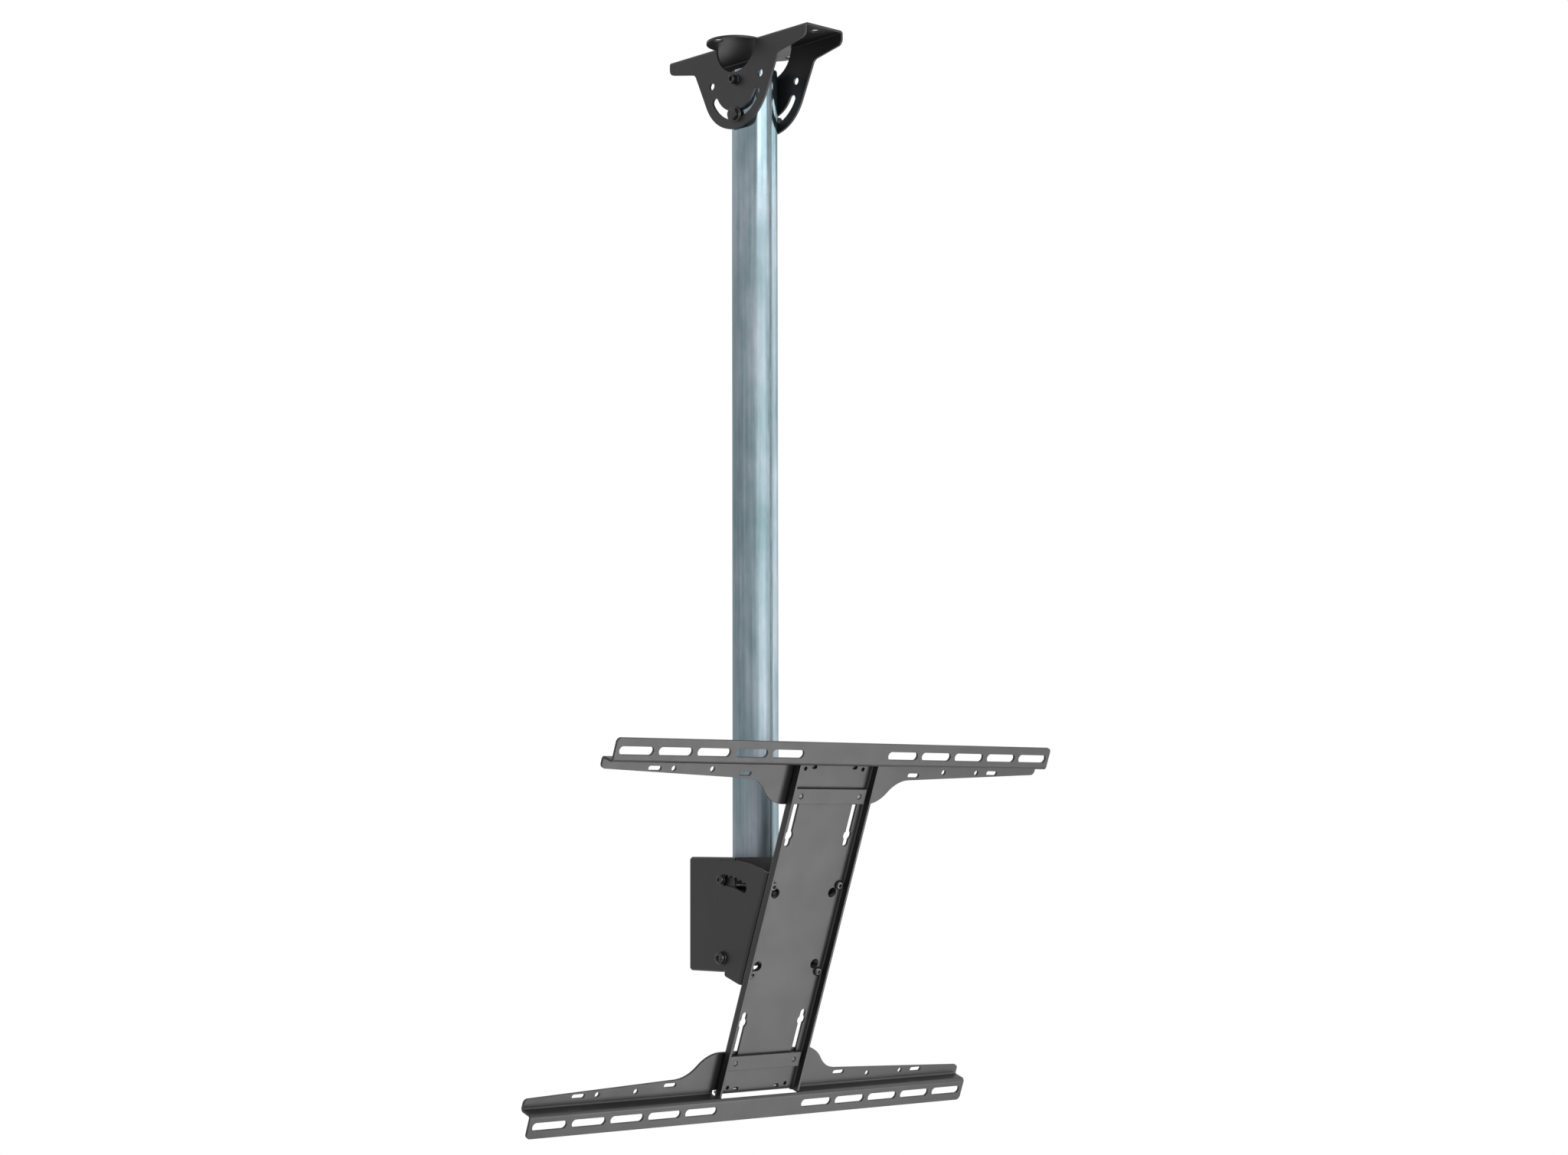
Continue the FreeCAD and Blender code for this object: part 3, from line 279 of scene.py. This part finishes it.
def galvanisedMaterial():
    size = galvanised
    material, tree, shader = newMaterial("galvanisedSteel")
    streaks = noise(tree, objectCoords(tree, size["streakStretch"]), *size["streaks"])
    patches = noise(tree, objectCoords(tree, size["patchStretch"]), *size["patches"])
    tone = combine(tree, "ADD", spread(tree, streaks, 0.0, size["streakShare"]),
                   spread(tree, patches, 0.0, 1.0 - size["streakShare"]))
    tree.links.new(ramp(tree, tone, size["tones"]), shader.inputs["Base Color"])
    split = addNode(tree, "ShaderNodeSeparateXYZ")
    tree.links.new(objectCoords(tree), split.inputs[0])

    def upwards(low, high):
        return spread(tree, split.outputs["Z"], low, high, size["lustreFrom"], size["lustreTo"],
                      "SMOOTHSTEP")
    tree.links.new(upwards(size["metalLow"], size["metalHigh"]), shader.inputs["Metallic"])
    rough = combine(tree, "MULTIPLY", spread(tree, patches, size["roughLow"], size["roughHigh"]),
                    upwards(1.0, size["lustreRough"]))
    tree.links.new(rough, shader.inputs["Roughness"])
    tree.links.new(bump(tree, streaks, size["streakStrength"], size["streakHeight"]),
                   shader.inputs["Normal"])
    setSocket(shader, "Specular IOR Level", size["specular"])
    setSocket(shader, "Specular Tint", size["tint"])
    return material


# Zinc plated clamps inside the head, toned darker than plain zinc as painted shade for the inside
# of the head box

zincPlate = {
    # dark zinc tones: painted shade for the clamps inside the head box
    "tones": [(0.35, (0.065, 0.065, 0.068)), (0.65, (0.12, 0.12, 0.125))],
    "cloud": (120.0, 4.0, 0.6),
    "roughLow": 0.34,
    "roughHigh": 0.5,
    "grain": (900.0, 3.0, 0.5),
    "grainStrength": 0.2,
    "grainHeight": 0.00002,
}


def zincPlateMaterial():
    size = zincPlate
    material, tree, shader = newMaterial("zincPlate")
    coords = objectCoords(tree)
    cloud = noise(tree, coords, *size["cloud"])
    tree.links.new(ramp(tree, cloud, size["tones"]), shader.inputs["Base Color"])
    tree.links.new(spread(tree, cloud, size["roughLow"], size["roughHigh"]),
                   shader.inputs["Roughness"])
    grain = noise(tree, coords, *size["grain"])
    tree.links.new(bump(tree, grain, size["grainStrength"], size["grainHeight"]),
                   shader.inputs["Normal"])
    setSocket(shader, "Metallic", 1.0)
    return material


finishes = {
    "black_coat": coatedMaterial("blackPowderCoat", powderCoat),
    "black_screws": coatedMaterial("blackScrew", blackScrew),
    "galvanised": galvanisedMaterial(),
    "zinc": zincPlateMaterial(),
}


def finishNodes():
    for entry in frame["record"]["subparts"]:
        node = nodes[entry["node"]]
        node.data.materials.clear()
        node.data.materials.append(finishes[entry["material_slot"]])


finishNodes()


# Fasteners: rings of points round an axis are joined into one skin

skin = {
    "count": 48,               # points in a ring, eight to a side of a hexagon
    "threadSteps": 6,          # rings in one turn of a thread
    "threadDepth": 0.54,       # of the pitch
    "sharpAngle": 32.0,        # degrees between faces, from which an edge is sharp
    "clear": 0.00003,          # gap under a head or nut, so that it slides on its plate
    "cornerFall": 30.0,        # degrees at which the corners of a hexagon are turned off
}


def ringAt(place, radiusAt, heightAt):
    # the radius may depend on the angle, and the height on the radius
    ring = []
    for step in range(skin["count"]):
        angle = 2 * math.pi * step / skin["count"]
        radius = radiusAt(angle) if callable(radiusAt) else radiusAt
        height = heightAt(radius) if callable(heightAt) else heightAt
        ring.append(place @ Vector((radius * math.cos(angle), radius * math.sin(angle), height)))
    return ring


def hexagon(flats):
    def radiusAt(angle):
        return flats / 2 / math.cos((angle + math.pi / 6) % (math.pi / 3) - math.pi / 6)
    return radiusAt


def turnedCorners(face, turned, sign):
    # outside the turned radius the height leaves the face, down for -1 and up for 1
    slope = math.tan(math.radians(skin["cornerFall"]))

    def heightAt(radius):
        return face + sign * max(0.0, radius - turned) * slope
    return heightAt


def threadRings(place, radius, pitch, start, end):
    # a helix: the ridge climbs one pitch in a turn, and fades at both ends
    rings = []
    steps = max(2, round(abs(end - start) / pitch * skin["threadSteps"]))
    for step in range(steps + 1):
        height = start + (end - start) * step / steps
        fade = min(1.0, 2 * min(step, steps - step) / skin["threadSteps"])
        depth = skin["threadDepth"] * pitch * fade

        def radiusAt(angle, height=height, depth=depth):
            phase = (height / pitch - angle / (2 * math.pi)) % 1.0
            return radius - depth * (1 - abs(2 * phase - 1))
        rings.append(ringAt(place, radiusAt, height))
    return rings


# Shank below a head: everything is measured from the seat of the head

shank = {
    "plain": 0.0005,           # length without a thread, where the screw gives none
    "mostPlain": 0.5,          # of the grip
    "fade": 0.6,               # of the pitch, above the tip
    "tip": 0.62,               # of the pitch, narrower at the tip
}


def shankRings(place, size):
    radius, grip, pitch = size["thread"] / 2, size["grip"], size["pitch"]
    plain = min(size.get("plain", shank["plain"]), grip * shank["mostPlain"])
    rings = [ringAt(place, radius, skin["clear"]), ringAt(place, radius, -plain)]
    rings += threadRings(place, radius, pitch, -plain, -grip + pitch * shank["fade"])
    rings += [ringAt(place, radius - pitch * shank["tip"], -grip)]
    return rings


# Hexagon socket, in shares of its key width

socket = {
    "drillWide": 0.12,
    "drillDeep": 0.2,
    "lipDeep": 0.04,
    "lipWide": 0.05,
}


def socketRings(place, top, key, deep, flat):
    # from the bottom of the socket up to the flat round it
    hexed = hexagon(key)
    return [ringAt(place, key * socket["drillWide"], top - deep - key * socket["drillDeep"]),
            ringAt(place, hexed, top - deep),
            ringAt(place, hexed, top - key * socket["lipDeep"]),
            ringAt(place, lambda angle: hexed(angle) + key * socket["lipWide"], top),
            ringAt(place, flat, top)]


# Button head: domed, with a hexagon socket

buttonForm = {
    "flat": 0.58,              # of the radius, round the socket
    "socket": 0.62,            # of the height
    "skirt": 0.14,             # of the height, below the dome
    "foot": 0.04,              # of the height
    "seat": 0.985,             # of the radius
    "domeSteps": 8,
}


def buttonRings(place, size):
    form = buttonForm
    wide, high = size["headWide"] / 2, size["headHigh"]
    flat = wide * form["flat"]
    rings = socketRings(place, high, size["key"], high * form["socket"], flat)
    for step in range(1, form["domeSteps"] + 1):
        turn = math.radians(90 * step / form["domeSteps"])
        rings.append(ringAt(place, flat + (wide - flat) * math.sin(turn),
                            high * (form["skirt"] + (1 - form["skirt"]) * math.cos(turn))))
    rings += [ringAt(place, wide, high * form["foot"]),
              ringAt(place, wide * form["seat"], skin["clear"])]
    return rings + shankRings(place, size)


# Cap head: straight, with a bevelled rim and a hexagon socket

capForm = {
    "flat": 0.86,
    "socket": 0.55,
    "profile": [(0.94, 0.985), (1.0, 0.92), (1.0, 0.03)],      # of the radius and the height
    "seat": 0.98,
}


def capRings(place, size):
    form = capForm
    wide, high = size["headWide"] / 2, size["headHigh"]
    rings = socketRings(place, high, size["key"], high * form["socket"], wide * form["flat"])
    rings += [ringAt(place, wide * out, high * up) for out, up in form["profile"]]
    rings += [ringAt(place, wide * form["seat"], skin["clear"])]
    return rings + shankRings(place, size)


# Flange under a hexagon: from the hexagon down to the seat

flangeForm = {
    "join": 1.05,              # of the flange's height, where the hexagon meets it
    "root": (0.585, 1.02),     # of the hexagon's width and of the flange's height
    "profile": [(0.97, 0.62), (1.0, 0.42), (1.0, 0.08)],
    "seat": 0.985,
}


def flangeRings(place, size):
    form = flangeForm
    wide, rim = size["flangeWide"] / 2, size["rim"]
    rings = [ringAt(place, size["across"] * form["root"][0], rim * form["root"][1])]
    rings += [ringAt(place, wide * out, rim * up) for out, up in form["profile"]]
    return rings + [ringAt(place, wide * form["seat"], skin["clear"])]


# Hexagon head: corners turned off and a shallow dish in its face

hexForm = {
    "turned": 0.95,            # of the width across the flats
    "dish": [(0.10, 0.035), (0.27, 0.03), (0.31, 0.0)],        # radius and depth, of that width
}


def hexHeadRings(place, size):
    wide, rim = size["across"], size.get("rim", 0.0)
    turned = wide / 2 * hexForm["turned"]
    top = size["headHigh"] + rim
    corner = hexagon(wide)
    rings = [ringAt(place, wide * out, top - wide * deep) for out, deep in hexForm["dish"]]
    rings += [ringAt(place, turned, top), ringAt(place, corner, turnedCorners(top, turned, -1)),
              ringAt(place, corner, rim * flangeForm["join"] or skin["clear"])]
    if rim:
        rings += flangeRings(place, size)
    return rings + shankRings(place, size)


# Nut: a closed loop from the bore over the seat, the sides and the free face to the bore

nutForm = {
    "turned": 0.955,           # of the width across the flats
    "bore": 0.97,              # of the thread
    "mouth": 1.06,
    "mouthDeep": 0.12,         # of the height
}


def nutRings(place, size):
    form = nutForm
    wide, high, bore = size["across"], size["high"], size["thread"] / 2
    turned = wide / 2 * form["turned"]
    corner = hexagon(wide)
    if "rim" in size:
        foot = flangeRings(place, size)[::-1]
        foot += [ringAt(place, corner, size["rim"] * flangeForm["join"])]
    else:
        foot = [ringAt(place, turned, skin["clear"]),
                ringAt(place, corner, turnedCorners(skin["clear"], turned, 1))]
    return [ringAt(place, bore * form["bore"], high * form["mouthDeep"]),
            ringAt(place, bore * form["mouth"], skin["clear"]),
            *foot,
            ringAt(place, corner, turnedCorners(high, turned, -1)),
            ringAt(place, turned, high),
            ringAt(place, bore * form["mouth"], high),
            ringAt(place, bore * form["bore"], high * (1 - form["mouthDeep"]))]


def skinMesh(name, loops):
    # loops is a list of rings and whether they close on themselves
    points, faces = [], []
    for rings, closed in loops:
        count = len(rings[0])
        base = len(points)
        for ring in rings:
            points += ring
        for row in range(len(rings) if closed else len(rings) - 1):
            here = base + row * count
            there = base + (row + 1) % len(rings) * count
            for step in range(count):
                after = (step + 1) % count
                faces.append((here + step, here + after, there + after, there + step))
        if not closed:
            faces.append([base + step for step in reversed(range(count))])
            faces.append([base + (len(rings) - 1) * count + step for step in range(count)])
    mesh = bpy.data.meshes.new(name)
    mesh.from_pydata(points, [], faces)
    mesh.validate()
    build = bmesh.new()
    build.from_mesh(mesh)
    bmesh.ops.recalc_face_normals(build, faces=build.faces)
    build.to_mesh(mesh)
    build.free()
    mesh.shade_smooth()
    mesh.set_sharp_from_angle(angle=math.radians(skin["sharpAngle"]))
    return mesh


# The fasteners stand where the frame's plain ones are: axis, seat and length are read from them

sideWay = Vector((1, 0, 0))
backWay = Vector((0, 1, 0))
columnUp = Vector(next(joint["axis"] for joint in frame["joints"]
                       if joint["name"] == "upper_arm_height"))
screenWay = sideWay.cross(columnUp)        # out of the column, towards the screen


def solidsOf(nodeName):
    # the points of each separate solid in a node, in the order of its mesh
    build = bmesh.new()
    build.from_mesh(nodes[nodeName].data)
    bmesh.ops.remove_doubles(build, verts=build.verts, dist=1e-6)
    seen, solids = set(), []
    for first in build.verts:
        if first in seen:
            continue
        seen.add(first)
        todo, points = [first], []
        while todo:
            vertex = todo.pop()
            points.append(vertex.co.copy())
            for edge in vertex.link_edges:
                other = edge.other_vert(vertex)
                if other not in seen:
                    seen.add(other)
                    todo.append(other)
        solids.append(points)
    build.free()
    return solids


def extent(points, way):
    reach = [point.dot(way) for point in points]
    return min(reach), max(reach)


def outward(points):
    # a screw in a side plate has its head on the outside
    low, high = extent(points, sideWay)
    return sideWay if low + high > 0 else -sideWay


def standAt(points, headWay, seat):
    # a place on the axis of a solid, its +Z pointing out of the head
    side = headWay.orthogonal().normalized()
    other = headWay.cross(side)
    centre = side * sum(extent(points, side)) / 2 + other * sum(extent(points, other)) / 2
    turn = Matrix((side, other, headWay)).transposed().to_4x4()
    return Matrix.Translation(centre + headWay * seat) @ turn


def makePiece(name, loops, body, slot):
    piece = placeInScene(name, skinMesh(name, loops))
    piece.data.materials.append(finishes[slot])
    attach(piece, body)
    return piece


def standFor(name, nodeName, loops):
    slot = next(entry["material_slot"] for entry in frame["record"]["subparts"]
                if entry["node"] == nodeName)
    piece = makePiece(name, loops, nodes[nodeName]["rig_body"], slot)
    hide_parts(nodeName)


def makeScrews(name, nodeName, size, headRings, headWay=None):
    loops = []
    for points in solidsOf(nodeName):
        way = headWay or outward(points)
        low, high = extent(points, way)
        seat = high - size["headHigh"] - size.get("rim", 0.0)
        full = dict(size, grip=seat - low)
        loops.append((headRings(standAt(points, way, seat), full), False))
    standFor(name, nodeName, loops)


def makeNuts(name, nodeName, size, faceWay=None):
    # faceWay points from the seat to the free face of the nut
    loops = []
    for points in solidsOf(nodeName):
        way = faceWay or -outward(points)
        low, high = extent(points, way)
        full = dict(size, high=high - low)
        loops.append((nutRings(standAt(points, way, low), full), True))
    standFor(name, nodeName, loops)


# Pivot bolt of the ceiling bracket: a cap screw through both ears

pivotBolt = {"headWide": 0.010, "headHigh": 0.006, "key": 0.005,
             "thread": 0.006, "pitch": 0.001, "plain": 0.044}
pivotNut = {"across": 0.010, "thread": 0.006}

makeScrews("pivotCapScrew", "pivot_bolt", pivotBolt, capRings, -sideWay)
makeNuts("pivotHexNut", "pivot_nut", pivotNut, sideWay)


# Lock bolt and nut with flanges, in the arc slots

lockBolt = {"across": 0.013, "headHigh": 0.0055, "rim": 0.0015, "flangeWide": 0.0169,
            "thread": 0.008, "pitch": 0.00125, "plain": 0.040}
lockNut = {"across": 0.013, "rim": 0.0015, "flangeWide": 0.0169, "thread": 0.008}

makeScrews("lockFlangeBolt", "lock_bolt", lockBolt, hexHeadRings, -sideWay)
makeNuts("lockFlangeNut", "lock_nut", lockNut, sideWay)


# Button heads of the tilt joint, outside the side plates, and their nuts inside

tiltPivotScrew = {"headWide": 0.014, "headHigh": 0.0044, "key": 0.005,
                  "thread": 0.008, "pitch": 0.00125}
tiltLockScrew = {"headWide": 0.0105, "headHigh": 0.0033, "key": 0.004,
                 "thread": 0.006, "pitch": 0.001}
tiltPivotNut = {"across": 0.013, "thread": 0.008}
tiltLockNut = {"across": 0.010, "thread": 0.006}

makeScrews("tiltPivotButtons", "tilt_pivot_screws", tiltPivotScrew, buttonRings)
makeScrews("tiltLockButtons", "tilt_lock_screws", tiltLockScrew, buttonRings)
makeNuts("tiltPivotHexNuts", "tilt_pivot_nuts", tiltPivotNut)
makeNuts("tiltLockHexNuts", "tilt_lock_nuts", tiltLockNut)


# Column bolts: button heads in the channel, nuts behind the tilt bracket

columnScrew = {"headWide": 0.0104, "headHigh": 0.0033, "key": 0.004,
               "thread": 0.006, "pitch": 0.001}
columnNut = {"across": 0.010, "thread": 0.006}

makeScrews("columnButtons", "column_screws", columnScrew, buttonRings, screenWay)
makeNuts("columnHexNuts", "column_nuts", columnNut, -screenWay)


# Clamp screws: hexagon heads behind the arms, tips flush in the clamp bars

clampScrew = {"across": 0.010, "headHigh": 0.004, "thread": 0.006, "pitch": 0.001}

makeScrews("upperClampHexScrews", "upper_clamp_screws", clampScrew, hexHeadRings, -screenWay)
makeScrews("lowerClampHexScrews", "lower_clamp_screws", clampScrew, hexHeadRings, -screenWay)


# Clamp bows: nuts on the back of the head box and rolled threads on the legs

bowNut = {"across": 0.013, "thread": 0.008}
bowThread = {
    "crest": 0.0043,           # a rolled thread stands a little proud of its rod
    "pitch": 0.00125,
    "length": 0.026,
    "start": 0.9,              # of the crest, at the inner end
    "fade": 0.6,               # of the pitch, before the tip
    "tip": 0.7,                # of the pitch, narrower at the tip
    "proud": 0.0002,
}


def makeBowThreads():
    size = bowThread
    crest, pitch, length = size["crest"], size["pitch"], size["length"]
    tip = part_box("clamp_bows")[1].y
    loops = []
    for points in solidsOf("clamp_bow_nuts"):
        place = standAt(points, backWay, tip)
        rings = [ringAt(place, crest * size["start"], -length)]
        rings += threadRings(place, crest, pitch, -length, -pitch * size["fade"])
        rings += [ringAt(place, crest - pitch * size["tip"], size["proud"])]
        loops.append((rings, False))
    makePiece("bowThreads", loops, "head", "zinc")


makeNuts("bowHexNuts", "clamp_bow_nuts", bowNut, backWay)
makeBowThreads()
print("fasteners made")


# Weld seam: the tube is rolled from strip, and its seam shows as a fine bead

poleSeam = {
    "turn": -88.0,             # degrees from +X, on the front of the tube
    "width": 0.0046,           # bead and the heated strip beside it
    "height": 0.00018,
    "endGap": 0.002,
    "rows": 320,
    "swell": 0.16,             # of the height, along the bead
    "swellTurns": (1.9, 0.37),             # radians from row to row, two waves in one another
    "drift": 0.00015,          # how far the bead wanders sideways
    "driftTurn": 0.11,
    "profile": [(-0.5, -0.4), (-0.44, 0.25), (-0.26, 0.3), (-0.18, 0.75), (-0.06, 1.0),
                (0.06, 1.0), (0.18, 0.75), (0.26, 0.3), (0.44, 0.25), (0.5, -0.4)],
    "tones": [(0.35, (0.075, 0.105, 0.118)), (0.7, (0.14, 0.185, 0.205))],
    "flow": (700.0, 4.0, 0.6),
    "flowStretch": (1, 1, 0.08),
    "ripple": (900.0, 2.0, 0.5),
    "rippleStrength": 0.3,
    "rippleHeight": 0.00004,
    "roughLow": 0.34,
    "roughHigh": 0.5,
    "metal": 0.35,
    "specular": 0.4,
}


def seamMaterial():
    size = poleSeam
    material, tree, shader = newMaterial("seamSteel")
    flow = noise(tree, objectCoords(tree, size["flowStretch"]), *size["flow"])
    tree.links.new(ramp(tree, flow, size["tones"]), shader.inputs["Base Color"])
    tree.links.new(spread(tree, flow, size["roughLow"], size["roughHigh"]),
                   shader.inputs["Roughness"])
    ripple = noise(tree, objectCoords(tree), *size["ripple"])
    tree.links.new(bump(tree, ripple, size["rippleStrength"], size["rippleHeight"]),
                   shader.inputs["Normal"])
    setSocket(shader, "Metallic", size["metal"])
    setSocket(shader, "Specular IOR Level", size["specular"])
    return material


def makePoleSeam():
    size = poleSeam
    low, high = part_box("pole")
    radius = (high.x - low.x) / 2
    bottom, top = low.z + size["endGap"], high.z - size["endGap"]
    fast, slow = size["swellTurns"]
    points, faces = [], []
    for row in range(size["rows"] + 1):
        height = bottom + (top - bottom) * row / size["rows"]
        swell = 1.0 + size["swell"] * math.sin(row * fast) * math.sin(row * slow)
        drift = size["drift"] * math.sin(row * size["driftTurn"])
        for aside, lift in size["profile"]:
            angle = math.radians(size["turn"]) + (aside * size["width"] + drift) / radius
            reach = radius + lift * size["height"] * swell
            points.append((reach * math.cos(angle), reach * math.sin(angle), height))
    count = len(size["profile"])
    for row in range(size["rows"]):
        for step in range(count - 1):
            here = row * count + step
            faces.append((here, here + 1, here + count + 1, here + count))
    mesh = bpy.data.meshes.new("poleSeam")
    mesh.from_pydata(points, [], faces)
    mesh.shade_smooth()
    mesh.materials.append(seamMaterial())
    piece = placeInScene("poleSeam", mesh)
    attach(piece, "pole")


makePoleSeam()
print("pole seam made")


# Floor, light and camera

studio = {
    "white": (1.0, 1.0, 1.0, 1.0),
    "worldLight": 0.6,
    "floorColour": (0.9, 0.9, 0.9, 1.0),
    "floorRough": 0.8,
    "floorDrop": 1.4,
    "floorRadius": 6.0,
    "camera": (-2.0868, -2.3074, -0.8518),
    "heading": 41.757,         # degrees from +Y towards +X
    "lookUp": 3.212,
    "roll": -0.062,
    "sensor": 36.0,
    "lens": 65.861,
    "sideShift": 0.0300,
    "liftShift": 0.0540,
    "sight": 50.0,             # metres that the camera sees
}
lamps = {
    "lowLight": {"spot": (1.22, -1.45, -2.0), "target": (0, 0, -0.95),
                 "size": (0.8, 1.1), "power": 24},
    "frontLight": {"spot": (-0.25, -2.95, -0.3), "target": (0, 0, -0.5),
                   "size": (2.7, 2.6), "power": 74},
    "sideLight": {"spot": (2.75, -1.0, -0.2), "target": (0, 0, -0.6),
                  "size": (1.8, 2.6), "power": 34},
}


def seenRay(tree):
    # 1 for what the eye, glass or gloss sees, 0 for the light that falls on things
    path = addNode(tree, "ShaderNodeLightPath")
    either = combine(tree, "MAXIMUM", path.outputs["Is Camera Ray"],
                     path.outputs["Is Transmission Ray"])
    return combine(tree, "MAXIMUM", either, path.outputs["Is Glossy Ray"])


def addWorld():
    world = bpy.data.worlds.new("studioWorld")
    bpy.context.scene.world = world
    world.use_nodes = True
    tree = world.node_tree
    background = tree.nodes["Background"]
    setSocket(background, "Color", studio["white"])
    strength = addNode(tree, "ShaderNodeMapRange")
    setSocket(strength, "To Min", studio["worldLight"])
    setSocket(strength, "To Max", 1.0)
    tree.links.new(seenRay(tree), strength.inputs["Value"])
    tree.links.new(strength.outputs["Result"], background.inputs["Strength"])


def addFloor():
    radius = studio["floorRadius"]
    low = cadBox[0][2] - studio["floorDrop"]
    corners = [(-radius, -radius, low), (radius, -radius, low),
               (radius, radius, low), (-radius, radius, low)]
    mesh = bpy.data.meshes.new("floor")
    mesh.from_pydata(corners, [], [(0, 1, 2, 3)])
    floor = placeInScene("floor", mesh)
    material, tree, shader = newMaterial("paleFloor")
    setSocket(shader, "Base Color", studio["floorColour"])
    setSocket(shader, "Roughness", studio["floorRough"])
    glow = addNode(tree, "ShaderNodeEmission")
    setSocket(glow, "Strength", 1.0)
    mixed = addNode(tree, "ShaderNodeMixShader")
    tree.links.new(seenRay(tree), mixed.inputs["Fac"])
    tree.links.new(shader.outputs["BSDF"], mixed.inputs[1])
    tree.links.new(glow.outputs["Emission"], mixed.inputs[2])
    tree.links.new(mixed.outputs["Shader"], tree.nodes["Material Output"].inputs["Surface"])
    mesh.materials.append(material)


def addLights():
    for name, setup in lamps.items():
        lamp = bpy.data.lights.new(name, "AREA")
        lamp.shape = "RECTANGLE"
        lamp.size, lamp.size_y = setup["size"]
        lamp.energy = setup["power"]
        item = placeInScene(name, lamp)
        item.location = setup["spot"]
        aim = Vector(setup["target"]) - Vector(setup["spot"])
        item.rotation_euler = aim.to_track_quat("-Z", "Y").to_euler()


def addCamera():
    camera = bpy.data.cameras.new("camera")
    camera.sensor_width = studio["sensor"]
    camera.lens = studio["lens"]
    camera.shift_x = studio["sideShift"]
    camera.shift_y = studio["liftShift"]
    camera.clip_end = studio["sight"]
    item = placeInScene("camera", camera)
    turn = (Matrix.Rotation(math.radians(-studio["heading"]), 4, "Z")
            @ Matrix.Rotation(math.radians(90 + studio["lookUp"]), 4, "X")
            @ Matrix.Rotation(math.radians(studio["roll"]), 4, "Z"))
    item.matrix_world = Matrix.Translation(studio["camera"]) @ turn
    bpy.context.scene.camera = item


addWorld()
addFloor()
addLights()
addCamera()
bpy.context.scene.view_settings.view_transform = "Standard"
print("studio ready")
